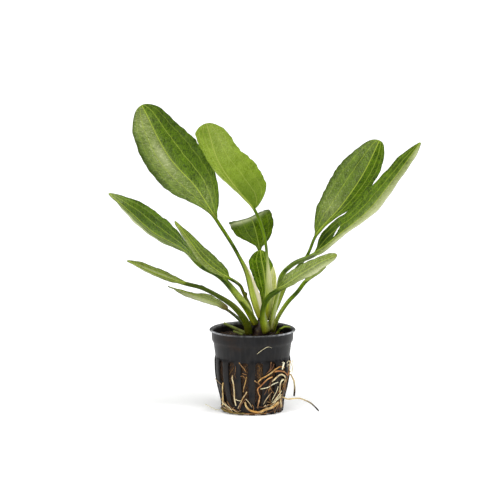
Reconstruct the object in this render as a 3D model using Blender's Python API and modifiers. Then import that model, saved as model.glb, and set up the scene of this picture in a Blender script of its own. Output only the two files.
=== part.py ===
"""Potted echinodorus: a rosette of broad leaves in a small net pot, with roots coming out of its slots.

The shapes are worked out in millimetres, and each mesh is written in metres. The origin is the centre of
the pot's underside, +Z is up and -Y is the front.
"""

import math
from dataclasses import dataclass, field

import bmesh
import bpy
import numpy as np
from mathutils import Vector, noise

MM = 0.001
COLLECTION = "potted_echinodorus"

# Net pot. The outside runs from the rim down to the underside as (radius, height).
POT_OUTSIDE = [
    (27.4, 51.7), (27.4, 51.0), (26.1, 50.5), (25.8, 46.9), (25.5, 44.6), (24.4, 42.8),
    (23.1, 35.1), (24.0, 34.2), (24.0, 24.2), (23.3, 18.5), (21.9, 12.2), (20.1, 5.7),
    (19.7, 0.6), (19.3, 0.0),
]
POT_HEIGHT = 51.7
MOUTH_RADIUS = 25.0
INSIDE_HEIGHTS = [42.8, 35.1, 34.2, 24.2, 12.2, 5.7]
WALL = 1.1
FLOOR = 1.3
POT_STEPS = 48
RIBS = 16
RIB_PITCH = 360 / RIBS
FIRST_RIB = -1.0  # degrees from the front, seen from above, to the right
SLOT_ANGLE = 11.5
SLOT_FROM, SLOT_TO = 6.0, 34.0
FOOT_SLOT_RADIUS, FOOT_SLOT_HEIGHT = 9.0, 1.4

# Growing plug
PLUG_GAP = 0.5
PLUG_TOP = 46.8
PLUG_STEPS = 32
PLUG_LUMP = 0.9
PLUG_SEAT = 45.4  # flat under the crown
SEAT_RADIUS = 9.5

# Crown, the short root stock that carries the leaves
CROWN_AT = (5.0, 0.0)
CROWN_RADII = (6.0, 5.4, 8.2)
CROWN_MIDDLE = 49.2
CROWN_BOTTOM = 45.9
CROWN_LUMP = 0.5

# Leaf blades
RING = 8
MARGIN_HALF_THICKNESS = 0.36
MIDRIB_REACH = 1.8
STALK_STEP = 8.0
BLADE_STATIONS = 12
LAST_STATION = 0.975

# Roots lie on the outside of the slotted wall
ROOT_STEP = 3.0

# Colours are linear RGB
POT_COLOUR = (0.035, 0.036, 0.040)
SOIL_COLOUR = (0.030, 0.017, 0.009)
CROWN_COLOUR = (0.22, 0.13, 0.04)
LEAF_COLOUR = (0.085, 0.21, 0.020)
LIGHT_LEAF_COLOUR = (0.26, 0.42, 0.045)
PALE_SHEATH_COLOUR = (0.72, 0.78, 0.30)
OLD_STALK_COLOUR = (0.24, 0.30, 0.06)
ROOT_COLOUR = (0.52, 0.30, 0.10)
PALE_ROOT_COLOUR = (0.72, 0.60, 0.34)
WHITE_ROOT_COLOUR = (0.80, 0.78, 0.62)
DARK_ROOT_COLOUR = (0.25, 0.11, 0.04)
EDGE_ROOT_COLOUR = (0.30, 0.27, 0.06)


@dataclass
class Side:
    """The half of a blade on one side of its midrib."""

    width: float  # where it is widest
    widest: float = 0.52  # share of the blade from its base to its widest place
    base_power: float = 1.1  # over 1 narrows the blade's base, under 1 rounds it
    tip_power: float = 0.65


@dataclass
class Leaf:
    """One leaf as it grew: a sheath on the crown, a stalk and a blade.

    Left and right are as seen from the upper side, with the tip up.
    """

    name: str
    route: list  # the stalk and midrib, from the crown to the tip
    blade_from: int  # the route point where the blade begins
    left: Side
    right: Side
    facing: dict  # route point: the way the upper side looks there
    foot: float = 1.8  # half width where it leaves the crown
    sheath: float = 2.6  # half width of the sheath where it is widest
    sheath_at: float = 12.0
    sheath_to: float = 34.0
    stalk: float = 1.1  # radius of the stalk below the blade
    thickness: float = 0.95  # half thickness of the sheath
    clasp: float = 18.0  # degrees that the sheath's sides turn in
    fold: float = 14.0  # degrees that each half of the blade rises
    colour: tuple = LEAF_COLOUR
    stations: int = BLADE_STATIONS


LEAVES = [
    Leaf("leaf_tall_left",
         [(5.0, 0.6, 58.5), (1.0, 2.4, 73.0), (-3.0, 4.8, 86.5), (-10.5, 8.8, 100.0), (-23.0, 14.0, 119.5),
          (-35.5, 18.0, 139.0), (-51.0, 23.0, 155.5), (-70.0, 30.0, 190.0)],
         4, Side(17.5, 0.54, 1.2, 0.40), Side(20.0, 0.52, 0.8, 0.60),
         {0: (0.8, -0.6, 0.1), 3: (0.5, -0.8, 0.35), 5: (0.25, -0.92, 0.30)},
         foot=1.9, sheath=3.0, sheath_at=14.0, sheath_to=42.0, fold=9.0),
    Leaf("leaf_tall_middle",
         [(8.5, -0.6, 57.5), (10.0, -1.0, 76.0), (9.5, -3.0, 92.5), (7.0, -7.0, 113.5), (1.0, -11.0, 129.5),
          (-9.5, -17.0, 143.0), (-21.0, -24.0, 161.0), (-28.5, -35.0, 186.5)],
         4, Side(18.5, 0.34, 0.9, 0.50), Side(9.0, 0.78, 1.2, 0.25),
         {0: (0.3, 0.9, 0.1), 4: (-0.1, 0.9, 0.4)},
         foot=1.6, sheath=1.9, sheath_to=40.0, stalk=0.95, fold=8.0, colour=LIGHT_LEAF_COLOUR),
    Leaf("leaf_arched_back",
         [(4.5, 6.6, 53.5), (6.0, 12.8, 75.5), (5.5, 16.6, 88.0), (4.5, 20.0, 99.0), (2.5, 24.0, 109.5),
          (-0.5, 31.0, 118.0), (-4.0, 42.0, 116.5), (-7.0, 50.0, 107.0)],
         3, Side(14.0, 0.42, 1.9, 0.40), Side(13.0, 0.36, 1.8, 0.50),
         {0: (0.0, -1.0, 0.2), 3: (0.0, -0.9, 0.4), 5: (-0.35, -0.1, 0.95), 7: (-0.2, 0.8, 0.6)},
         foot=1.5, sheath=1.7, stalk=0.95, thickness=0.8, fold=6.0),
    Leaf("leaf_young_upright",
         [(8.2, 5.2, 55.0), (7.7, 5.8, 66.0), (8.0, 7.8, 78.5), (7.0, 10.4, 87.5), (5.5, 12.6, 95.0),
          (5.0, 13.6, 100.0)],
         1, Side(10.0, 0.70, 0.6, 0.7), Side(7.0, 0.52, 1.1, 0.4),
         {0: (0.1, -1.0, 0.1), 2: (0.1, -0.95, 0.25)},
         foot=1.4, sheath=1.6, sheath_at=5.0, sheath_to=14.0, stalk=1.3, thickness=0.8, stations=10),
    Leaf("leaf_long_left",
         [(2.5, -4.2, 56.0), (-3.0, -5.6, 66.0), (-8.5, -5.8, 72.0), (-22.0, -3.0, 85.5), (-31.5, -1.0, 91.5),
          (-43.0, 1.5, 101.5), (-64.0, 5.0, 113.5), (-76.5, 7.5, 124.5), (-90.5, 10.0, 136.5)],
         4, Side(12.0, 0.42, 2.0, 0.5), Side(14.0, 0.52, 1.6, 0.6),
         {0: (0.6, 0.2, 0.7), 4: (0.5, -0.3, 0.75), 6: (0.52, -0.50, 0.70)},
         foot=2.2, sheath=2.9, sheath_at=10.0, sheath_to=45.0, stalk=1.4, thickness=1.4, fold=22.0),
    Leaf("leaf_middle_left",
         [(1.5, 3.0, 56.0), (-2.5, 3.8, 68.0), (-7.0, 1.8, 76.0), (-14.5, -2.5, 84.5), (-30.5, -8.0, 97.0),
          (-41.0, -9.5, 111.5), (-48.5, -11.0, 122.0)],
         3, Side(5.5, 0.36, 1.4, 0.4), Side(6.5, 0.30, 0.6, 1.1),
         {0: (0.7, -0.4, 0.5), 3: (0.40, -0.80, 0.45), 6: (0.45, -0.8, 0.4)},
         foot=1.4, sheath=1.6, stalk=1.0, thickness=0.8, fold=20.0),
    Leaf("leaf_low_left",
         [(-2.0, -3.4, 49.5), (-3.5, -4.6, 55.5), (-6.5, -6.6, 61.5), (-11.5, -8.6, 67.5), (-22.0, -10.5, 75.0),
          (-32.5, -11.5, 80.0), (-41.5, -12.5, 82.5), (-59.0, -13.5, 88.5), (-78.5, -15.0, 97.5)],
         6, Side(5.5, 0.36, 1.9, 0.5), Side(5.0, 0.54, 0.5, 0.7),
         {0: (0.8, 0.3, 0.4), 3: (0.5, 0.0, 0.8), 6: (0.33, -0.45, 0.84)},
         foot=2.4, sheath=2.8, sheath_at=8.0, sheath_to=38.0, stalk=1.2, thickness=1.7, fold=16.0),
    Leaf("leaf_lowest_left",
         [(-2.0, 4.0, 50.0), (-8.5, 6.0, 57.0), (-16.0, 9.0, 62.5), (-27.0, 12.0, 67.5), (-36.0, 13.5, 70.5),
          (-53.5, 16.0, 76.5)],
         2, Side(6.0, 0.56, 0.8, 1.4), Side(5.0, 0.30, 1.2, 1.4),
         {0: (0.7, -0.4, 0.5), 2: (0.3, -0.5, 0.82)},
         foot=1.7, sheath=1.9, sheath_at=6.0, sheath_to=18.0, stalk=1.0, fold=14.0, stations=10),
    Leaf("leaf_tall_right",
         [(10.5, 5.2, 53.0), (13.5, 5.6, 61.0), (18.5, 7.5, 73.0), (25.5, 11.0, 87.5), (32.0, 14.0, 95.5),
          (39.0, 18.0, 108.0), (56.5, 24.0, 127.0), (70.5, 29.0, 147.0), (80.5, 34.0, 167.0)],
         5, Side(16.0, 0.54, 0.7, 0.5), Side(10.5, 0.70, 1.0, 0.5),
         {0: (-0.7, -0.6, 0.3), 4: (-0.4, -0.8, 0.4), 6: (-0.35, -0.88, 0.33)},
         foot=1.7, sheath=2.3, sheath_to=30.0, stalk=0.9, fold=14.0),
    Leaf("leaf_long_right",
         [(11.5, -3.6, 51.5), (13.0, -4.0, 62.0), (15.0, -4.6, 75.0), (18.0, -5.2, 86.5), (25.0, -7.0, 94.0),
          (38.5, -7.0, 100.0), (52.0, -7.0, 111.0), (72.5, -6.0, 128.0), (87.0, -5.0, 146.0),
          (105.0, -4.0, 170.5)],
         5, Side(11.5, 0.36, 0.5, 0.5), Side(8.5, 0.60, 0.6, 0.9),
         {0: (-0.8, 0.5, 0.2), 3: (-0.7, 0.1, 0.5), 6: (-0.63, -0.55, 0.55)},
         foot=1.6, sheath=2.2, sheath_to=28.0, stalk=1.1, fold=16.0, stations=14),
    Leaf("leaf_front_right",
         [(7.5, -7.0, 50.5), (6.0, -8.6, 59.0), (6.5, -10.5, 67.5), (10.0, -13.0, 75.0), (16.0, -15.0, 79.0),
          (32.0, -21.0, 91.0), (42.0, -26.0, 98.0), (52.5, -30.0, 103.5)],
         4, Side(5.4, 0.45, 0.8, 0.5), Side(8.3, 0.66, 0.8, 0.6),
         {0: (0.0, 1.0, 0.2), 3: (-0.3, 0.4, 0.85), 5: (-0.4, -0.65, 0.65)},
         foot=1.9, sheath=2.1, sheath_at=6.0, sheath_to=18.0, stalk=1.5, thickness=1.3, fold=12.0),
    Leaf("leaf_hidden_right",
         [(13.0, 1.2, 49.5), (16.0, 3.0, 57.5), (21.5, 7.0, 67.0), (29.5, 12.0, 75.0), (33.5, 15.0, 80.0),
          (40.0, 19.0, 84.0), (46.5, 24.0, 88.0)],
         4, Side(3.2, 0.45), Side(3.2, 0.45),
         {0: (-0.8, -0.3, 0.5), 4: (-0.3, -0.4, 0.85)},
         foot=1.9, sheath=2.1, sheath_at=5.0, sheath_to=26.0, stalk=1.2, thickness=1.1, fold=12.0,
         stations=9),
    Leaf("leaf_bud_sheath",
         [(11.0, 1.6, 57.0), (11.5, 1.6, 67.0), (12.0, 2.2, 79.0), (13.0, 3.0, 91.0)],
         1, Side(2.1, 0.45), Side(2.1, 0.45), {0: (-0.3, -0.9, 0.1)},
         foot=1.1, sheath=1.4, sheath_at=4.0, sheath_to=10.0, stalk=1.2, thickness=0.6, fold=12.0,
         colour=PALE_SHEATH_COLOUR, stations=8),
]


def clear_scene():
    """Remove every object that the file opened with."""
    for item in list(bpy.data.objects):
        bpy.data.objects.remove(item, do_unlink=True)


def make_collection(name):
    """A new collection, linked to the scene."""
    collection = bpy.data.collections.new(name)
    bpy.context.scene.collection.children.link(collection)
    return collection


def make_material(name, colour, roughness):
    """A Principled material of one colour."""
    material = bpy.data.materials.new(name)
    material.use_nodes = True
    shader = material.node_tree.nodes["Principled BSDF"]
    shader.inputs["Base Color"].default_value = (*colour, 1.0)
    shader.inputs["Roughness"].default_value = roughness
    shader.inputs["Metallic"].default_value = 0.0
    return material


def add_mesh(name, points, faces, material, collection):
    """A smooth-shaded object from points in millimetres."""
    mesh = bpy.data.meshes.new(name)
    mesh.from_pydata([tuple(float(c) * MM for c in p) for p in points], [], faces)
    return add_object(name, mesh, material, collection)


def add_object(name, mesh, material, collection):
    """An object of a finished mesh, with its material."""
    mesh.materials.append(material)
    mesh.shade_smooth()
    item = bpy.data.objects.new(name, mesh)
    collection.objects.link(item)
    return item


def ease(value, stops, values):
    """Values between stops, joined by half waves of a cosine."""
    value = min(max(value, stops[0]), stops[-1])
    for low, high, a, b in zip(stops, stops[1:], values, values[1:]):
        if value <= high:
            share = 0.5 - 0.5 * math.cos(math.pi * (value - low) / (high - low))
            return a + (b - a) * share
    return values[-1]


class Route:
    """A smooth curve through a few points, read by its length in millimetres."""

    DENSE = 24

    def __init__(self, points):
        points = np.array(points, dtype=float)
        chords = np.linalg.norm(np.diff(points, axis=0), axis=1)
        at = np.concatenate([[0.0], np.cumsum(chords)])
        slopes = np.gradient(points, at, axis=0)
        t = np.linspace(0.0, 1.0, self.DENSE, endpoint=False)[:, None]
        dense = []
        for i, chord in enumerate(chords):
            dense.append(
                (2 * t**3 - 3 * t**2 + 1) * points[i]
                + (t**3 - 2 * t**2 + t) * chord * slopes[i]
                + (3 * t**2 - 2 * t**3) * points[i + 1]
                + (t**3 - t**2) * chord * slopes[i + 1]
            )
        self.dense = np.concatenate([*dense, points[-1:]])
        steps = np.linalg.norm(np.diff(self.dense, axis=0), axis=1)
        self.along = np.concatenate([[0.0], np.cumsum(steps)])
        self.stops = [self.along[i * self.DENSE] for i in range(len(points))]
        self.length = self.along[-1]

    def point(self, distance):
        """The point this far along."""
        return np.array([np.interp(distance, self.along, self.dense[:, k]) for k in range(3)])

    def direction(self, distance, reach=1.0):
        """The unit direction of travel there."""
        step = self.point(distance + reach) - self.point(distance - reach)
        return step / np.linalg.norm(step)


def leaf_stations(leaf, route):
    """Distances of the leaf's cross sections, a few on the stalk and more on the blade."""
    blade_from = route.stops[leaf.blade_from]
    stalk_count = max(3, round(blade_from / STALK_STEP))
    stalk = np.linspace(0.0, blade_from, stalk_count, endpoint=False)
    share = np.linspace(0.0, 1.0, leaf.stations) ** 0.92 * LAST_STATION
    return np.concatenate([stalk, blade_from + share * (route.length - blade_from)])


def side_width(side, share):
    """Width of one side of a blade at a share of its length."""
    turn = math.log(0.5) / math.log(side.widest)
    power = side.base_power + (side.tip_power - side.base_power) * share
    return side.width * max(math.sin(math.pi * share**turn), 0.0) ** power


def leaf_widths(leaf, route, distance):
    """Left and right widths, half thickness, rise in degrees and flatness of the cross section there."""
    blade_from = route.stops[leaf.blade_from]
    stalk = ease(distance, [0.0, leaf.sheath_at, leaf.sheath_to], [leaf.foot, leaf.sheath, leaf.stalk])
    thick = ease(distance, [0.0, leaf.sheath_to], [leaf.thickness, leaf.stalk])
    rise = ease(distance, [0.0, leaf.sheath_to], [leaf.clasp, 0.0])
    share = (distance - blade_from) / (route.length - blade_from)
    if share <= 0.0:
        return stalk, stalk, thick, rise, 0.0
    share = min(share, 1.0)
    widths = [math.hypot(side_width(side, share), stalk * (1.0 - share)) for side in (leaf.left, leaf.right)]
    flat = ease(share, [0.0, 0.16], [0.0, 1.0])
    thin = ease(share, [0.0, 0.3, 1.0], [thick, 0.75, 0.42])
    fold = ease(share, [0.0, 0.2, 0.8, 1.0], [rise, leaf.fold, leaf.fold, leaf.fold * 0.6])
    return (*widths, thin, fold, flat)


def leaf_facing(leaf, route, distance):
    """The way the upper side looks there, before it is squared to the route."""
    stops = [route.stops[i] for i in leaf.facing]
    vectors = list(leaf.facing.values())
    if len(stops) == 1:
        return np.array(vectors[0], dtype=float)
    return np.array([ease(distance, stops, [v[k] for v in vectors]) for k in range(3)])


def leaf_ring(leaf, route, distance):
    """The closed cross section of a leaf there, a point for each of RING directions."""
    left, right, thick, rise, flat = leaf_widths(leaf, route, distance)
    along = route.direction(distance)
    up = leaf_facing(leaf, route, distance)
    up -= along * up.dot(along)
    up /= np.linalg.norm(up)
    side = np.cross(along, up)
    middle = route.point(distance)
    tilt = math.radians(rise)
    ring = []
    for k in range(RING):
        angle = 2 * math.pi * k / RING
        across, height = math.cos(angle), math.sin(angle)
        out = across * (right if across > 0 else left)
        midrib = math.exp(-((out / MIDRIB_REACH) ** 2))
        blade = MARGIN_HALF_THICKNESS + (thick - MARGIN_HALF_THICKNESS) * midrib
        layer = thick + (blade - thick) * flat
        height = math.copysign(abs(height) ** (1 - 0.6 * flat), height) if abs(height) > 1e-6 else 0.0
        ring.append(
            middle
            + side * out * math.cos(tilt)
            + up * (abs(out) * math.sin(tilt) + height * layer)
        )
    return ring


def ring_faces(rings, tip):
    """Faces of a loft of closed rings, with a flat first end and a pointed last one.

    The far half of each ring is parted along the mirrored diagonal, so that both sides of a thin
    blade bend along the same lines.
    """
    faces = [tuple(range(RING))]
    for i in range(rings - 1):
        for k in range(RING):
            a, b = i * RING + k, i * RING + (k + 1) % RING
            c, d = b + RING, a + RING
            if k < RING // 2:
                faces += [(c, b, a), (d, c, a)]
            else:
                faces += [(d, b, a), (d, c, b)]
    last = (rings - 1) * RING
    faces += [(tip, last + (k + 1) % RING, last + k) for k in range(RING)]
    return faces


def build_leaf(leaf, collection):
    """One leaf as a single loft from its foot to its tip."""
    route = Route(leaf.route)
    stations = leaf_stations(leaf, route)
    points = [p for distance in stations for p in leaf_ring(leaf, route, distance)]
    points.append(route.point(route.length))
    faces = ring_faces(len(stations), len(points) - 1)
    material = make_material(leaf.name + "_green", leaf.colour, 0.38)
    return add_mesh(leaf.name, points, faces, material, collection)


def pot_radius(height):
    """Outer radius of the pot at a height."""
    heights = [z for _, z in reversed(POT_OUTSIDE)]
    radii = [r for r, _ in reversed(POT_OUTSIDE)]
    return float(np.interp(height, heights, radii))


def pot_inside():
    """The inside of the pot from its mouth down to its floor, as (radius, height)."""
    wall = [(pot_radius(z) - WALL, z) for z in [*INSIDE_HEIGHTS, FLOOR]]
    return [(MOUTH_RADIUS, POT_HEIGHT), *wall]


def add_screw(item, steps):
    """Turn the object's profile once about Z."""
    screw = item.modifiers.new("turn", "SCREW")
    screw.angle = 2 * math.pi
    screw.steps = steps
    screw.render_steps = steps
    screw.use_merge_vertices = True
    screw.merge_threshold = 0.00001
    screw.use_smooth_shade = True


def turned_mesh(name, profile):
    """A mesh of one edge after another through (radius, height) points in the XZ plane."""
    mesh = bpy.data.meshes.new(name)
    points = [(r * MM, 0.0, z * MM) for r, z in profile]
    mesh.from_pydata(points, [(i, i + 1) for i in range(len(points) - 1)], [])
    return mesh


def slot_cutters(collection):
    """One object of wedges: a tall slot and a foot slot between each two ribs."""
    bm = bmesh.new()
    wedges = [(15.0, 30.0, SLOT_FROM, SLOT_TO), (FOOT_SLOT_RADIUS, 30.0, -2.0, FOOT_SLOT_HEIGHT)]
    half = math.radians(SLOT_ANGLE / 2)
    for slot in range(RIBS):
        middle = math.radians(FIRST_RIB + RIB_PITCH * (slot + 0.5))
        for near, far, low, high in wedges:
            for v in bmesh.ops.create_cube(bm, size=1.0)["verts"]:
                radius = far if v.co.y > 0 else near
                angle = middle + math.copysign(half, v.co.x)
                height = high if v.co.z > 0 else low
                v.co = Vector((radius * math.sin(angle), -radius * math.cos(angle), height)) * MM
    bmesh.ops.recalc_face_normals(bm, faces=bm.faces[:])
    mesh = bpy.data.meshes.new("slot_cutters")
    bm.to_mesh(mesh)
    bm.free()
    cutter = bpy.data.objects.new("slot_cutters", mesh)
    collection.objects.link(cutter)
    cutter.hide_render = True
    cutter.display_type = "WIRE"
    return cutter


def build_pot(collection, cutters):
    """The net pot: a turned shell whose lower wall and floor are cut into ribs."""
    profile = [(0.0, FLOOR), *reversed(pot_inside()), *POT_OUTSIDE, (0.0, 0.0)]
    mesh = turned_mesh("net_pot", profile)
    pot = add_object("net_pot", mesh, make_material("moulded_plastic", POT_COLOUR, 0.42), collection)
    add_screw(pot, POT_STEPS)
    pot.rotation_euler.z = math.radians(FIRST_RIB + 180 / POT_STEPS)
    cut = pot.modifiers.new("slots", "BOOLEAN")
    cut.operation = "DIFFERENCE"
    cut.solver = "EXACT"
    cut.object = slot_cutters(cutters)
    return pot


def build_plug(collection):
    """The fibre plug that fills the pot, with a crumbly top and a flat seat under the crown."""
    radii, levels = zip(*reversed(pot_inside()))
    heights = [FLOOR + 0.5, *reversed(INSIDE_HEIGHTS), PLUG_TOP - 0.9]
    wall = [(float(np.interp(z, levels, radii)) - PLUG_GAP, z) for z in heights]
    top = [(21.5, PLUG_TOP), (17.5, PLUG_TOP), (13.5, PLUG_TOP), (10.0, PLUG_TOP), (6.0, PLUG_TOP)]
    profile = [(0.0, PLUG_TOP), *reversed(top), *reversed(wall), (0.0, heights[0])]
    bm = bmesh.new()
    verts = [bm.verts.new((r * MM, 0.0, z * MM)) for r, z in profile]
    edges = [bm.edges.new(pair) for pair in zip(verts, verts[1:])]
    bmesh.ops.spin(bm, geom=verts + edges, cent=(0, 0, 0), axis=(0, 0, 1), angle=2 * math.pi,
                   steps=PLUG_STEPS, use_merge=True)
    bmesh.ops.remove_doubles(bm, verts=bm.verts[:], dist=0.00001)
    for v in bm.verts:
        if v.co.z > (PLUG_TOP - 0.1) * MM:
            away = math.hypot(v.co.x / MM - CROWN_AT[0], v.co.y / MM - CROWN_AT[1])
            lump = PLUG_TOP + PLUG_LUMP * noise.noise(v.co / MM * 0.35)
            v.co.z = ease(away, [SEAT_RADIUS - 1.5, SEAT_RADIUS + 2.5], [PLUG_SEAT, lump]) * MM
    bmesh.ops.recalc_face_normals(bm, faces=bm.faces[:])
    mesh = bpy.data.meshes.new("growing_plug")
    bm.to_mesh(mesh)
    bm.free()
    return add_object("growing_plug", mesh, make_material("peat_fibre", SOIL_COLOUR, 0.95), collection)


def build_crown(collection):
    """The knobbly root stock, cut flat where it sits on the plug."""
    bm = bmesh.new()
    bmesh.ops.create_uvsphere(bm, u_segments=16, v_segments=10, radius=1.0)
    for v in bm.verts:
        lump = 1.0 + CROWN_LUMP / CROWN_RADII[0] * noise.noise(v.co * 2.3)
        x = CROWN_AT[0] + v.co.x * CROWN_RADII[0] * lump
        y = CROWN_AT[1] + v.co.y * CROWN_RADII[1] * lump
        z = CROWN_MIDDLE + v.co.z * CROWN_RADII[2] * lump
        v.co = Vector((x, y, z)) * MM
    cut = bmesh.ops.bisect_plane(bm, geom=bm.verts[:] + bm.edges[:] + bm.faces[:], dist=0.00001,
                                 plane_co=(0, 0, CROWN_BOTTOM * MM), plane_no=(0, 0, -1), clear_outer=True)
    rim = [e for e in cut["geom_cut"] if isinstance(e, bmesh.types.BMEdge)]
    bmesh.ops.contextual_create(bm, geom=rim)
    bmesh.ops.recalc_face_normals(bm, faces=bm.faces[:])
    mesh = bpy.data.meshes.new("crown")
    bm.to_mesh(mesh)
    bm.free()
    return add_object("crown", mesh, make_material("root_stock", CROWN_COLOUR, 0.6), collection)


def build_tube(name, points, radii, material, collection, sides=1):
    """A tapering round strand through points in millimetres, capped at both ends."""
    curve = bpy.data.curves.new(name, "CURVE")
    curve.dimensions = "3D"
    curve.bevel_depth = max(radii) * MM
    curve.bevel_resolution = sides
    curve.use_fill_caps = True
    spline = curve.splines.new("POLY")
    spline.points.add(len(points) - 1)
    for knot, point, radius in zip(spline.points, points, radii):
        knot.co = (*(float(c) * MM for c in point), 1.0)
        knot.radius = radius / max(radii)
    curve.materials.append(material)
    item = bpy.data.objects.new(name, curve)
    collection.objects.link(item)
    return item


def build_strand(name, points, thick, thin, material, collection, step=ROOT_STEP):
    """A strand along a smooth route, thick at its start and thin at its end."""
    route = Route(points)
    count = max(4, round(route.length / step) + 1)
    share = np.linspace(0.0, 1.0, count)
    stations = [route.point(s * route.length) for s in share]
    radii = [thick + (thin - thick) * s for s in share]
    return build_tube(name, stations, radii, material, collection)


OLD_STALKS = {
    "old_stalk_left": ([(-4.4, 1.2, 48.9), (-9.5, 3.0, 51.0), (-18.0, 7.0, 54.2)], 1.1, 0.8),
    "old_stalk_left_short": ([(-6.2, -3.0, 48.7), (-9.4, -2.0, 49.8), (-12.0, -1.0, 50.5)], 0.8, 0.6),
}

OLD_STRAP = Leaf(
    "old_strap_right",
    [(15.2, -1.6, 48.8), (17.4, -1.2, 51.8), (20.5, 0.0, 53.2), (24.0, 1.2, 52.6)],
    1, Side(1.3, 0.5), Side(1.3, 0.5), {0: (-0.4, -0.4, 0.8)},
    foot=0.9, sheath=1.1, sheath_at=2.0, sheath_to=4.0, stalk=0.7, thickness=0.5, fold=8.0,
    colour=OLD_STALK_COLOUR, stations=6,
)


@dataclass
class Root:
    """A root that leaves the plug by a slot and lies on the pot, or hangs loose from there."""

    name: str
    stops: list  # (degrees to the right of the front, height, distance of its middle from the wall)
    thick: float
    thin: float
    colour: tuple = ROOT_COLOUR
    loose: list = field(default_factory=list)  # points off the pot


def on_pot(degrees, height, stand_off):
    """A point this far out from the pot's wall."""
    radius = pot_radius(height) + stand_off
    angle = math.radians(degrees)
    return (radius * math.sin(angle), -radius * math.cos(angle), height)


ROOTS = [
    Root("root_white_right", [(52.4, 32.7, -0.6), (51.4, 32.9, 1.1), (46.8, 31.6, 2.4), (45.5, 30.2, 2.5),
                              (45.0, 29.0, 2.4)], 0.62, 0.55, WHITE_ROOT_COLOUR),
    Root("root_arch_right", [(35.2, 28.0, -0.55), (35.2, 28.1, 0.9), (39.0, 28.3, 1.1), (43.0, 28.1, 1.1),
                             (49.5, 27.5, 1.05), (57.0, 25.9, 1.05), (62.5, 24.3, 1.1), (67.0, 27.5, 1.0),
                             (69.0, 31.2, 1.0), (73.8, 32.4, 1.0), (76.5, 32.4, -0.4)],
         0.58, 0.5, DARK_ROOT_COLOUR),
    Root("root_knee_right", [(32.6, 21.8, -0.5), (33.4, 22.8, 0.8), (38.0, 24.5, 1.1), (45.0, 25.8, 1.15),
                             (52.5, 24.7, 1.1), (57.5, 22.7, 1.0), (58.2, 20.1, 0.6), (57.2, 18.1, -0.4)],
         0.75, 0.7, PALE_ROOT_COLOUR),
    Root("root_upright_right", [(53.4, 22.1, -0.5), (53.2, 22.1, 1.0), (48.6, 21.7, 1.2), (46.4, 20.0, 1.15),
                                (46.6, 17.0, 1.1), (49.4, 13.0, 1.1), (52.5, 9.3, 1.5), (55.0, 6.1, 1.8),
                                (55.5, 3.7, 1.9)], 0.68, 0.6, PALE_ROOT_COLOUR),
    Root("root_slant_upper", [(52.6, 29.4, -0.6), (52.4, 29.7, 0.9), (45.0, 30.8, 1.0), (36.3, 29.8, 1.0),
                              (28.8, 27.7, 1.0), (20.3, 25.7, 1.0), (12.8, 24.1, 1.0), (7.8, 21.9, 0.9)],
         0.55, 0.62),
    Root("root_slant_lower", [(30.4, 24.9, -0.6), (29.9, 24.9, 1.0), (24.2, 24.1, 1.0), (18.3, 22.1, 0.95),
                              (12.6, 19.5, 0.9), (8.2, 17.8, 0.8), (9.1, 15.0, 0.8), (11.8, 12.2, 0.8),
                              (10.4, 9.6, 0.8), (9.2, 6.6, 0.9)], 0.52, 0.36, DARK_ROOT_COLOUR),
    Root("root_cross_right", [(13.2, 17.2, -0.5), (14.2, 17.6, 0.8), (23.8, 18.3, 0.9), (32.4, 20.0, 0.9),
                              (41.9, 21.0, 0.9)], 0.4, 0.45, PALE_ROOT_COLOUR),
    Root("root_under_front", [(-12.4, 8.8, 1.2), (-10.8, 6.2, 1.3), (-5.5, 3.9, 1.4), (4.2, 2.7, 1.45),
                              (12.2, 2.4, 1.5), (21.2, 3.8, 1.5), (34.2, 4.8, 1.5), (43.2, 6.6, 1.8),
                              (46.8, 8.0, 2.0)], 0.8, 1.15),
    Root("root_hanging_right", [(74.8, 23.5, -0.6), (74.6, 23.9, 1.0)], 0.4, 0.62, DARK_ROOT_COLOUR,
         [(24.9, -6.8, 22.3), (26.0, -7.2, 20.0), (26.4, -7.6, 17.2), (26.4, -8.0, 12.9), (26.1, -8.0, 10.2)]),
    Root("root_long_loose", [(58.0, 10.0, -0.4), (59.5, 10.2, 1.0)], 0.45, 0.5, DARK_ROOT_COLOUR,
         [(21.5, -13.0, 9.4), (25.7, -13.5, 9.7), (29.8, -13.5, 9.8), (32.7, -13.0, 8.7), (36.4, -11.5, 6.6),
          (39.2, -10.0, 3.9), (41.8, -8.0, 0.7)]),
    Root("root_outer_left", [(-54.4, 19.9, -0.5), (-54.2, 17.3, 0.6), (-55.6, 13.6, 0.9), (-58.6, 9.1, 1.05),
                             (-61.8, 5.7, 1.05), (-64.3, 4.7, 1.05)], 0.6, 0.7),
    Root("root_edge_left", [(-70.0, 2.6, 1.15), (-56.0, 1.8, 1.2), (-38.5, 1.2, 1.2), (-22.0, 1.2, 1.2),
                            (-13.0, 1.5, 1.2)], 0.8, 0.7, EDGE_ROOT_COLOUR),
    Root("root_inner_left", [(-32.2, 25.6, -0.4), (-31.4, 23.8, 0.8), (-29.9, 21.2, 1.05), (-29.4, 16.5, 1.05),
                             (-30.8, 10.6, 1.05), (-29.4, 5.9, 1.05)], 0.62, 0.7, PALE_ROOT_COLOUR),
    Root("root_upper_middle", [(-9.2, 25.2, -0.5), (-10.6, 22.2, 0.4), (-13.9, 17.6, 0.4), (-15.3, 15.2, -0.3)],
         0.52, 0.5, PALE_ROOT_COLOUR),
    Root("root_lower_middle", [(-9.4, 15.4, -0.3), (-10.6, 14.4, 0.7), (-14.0, 12.5, 1.05), (-20.7, 7.8, 1.05),
                               (-26.0, 4.2, 1.05)], 0.7, 0.62, PALE_ROOT_COLOUR),
    Root("root_floor_left", [], 0.3, 0.35, PALE_ROOT_COLOUR,
         [(-20.6, -3.2, 0.8), (-22.1, -2.0, 0.5), (-24.3, 2.0, 0.5), (-27.2, 10.0, 0.5), (-30.1, 18.0, 0.6)]),
]


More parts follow.
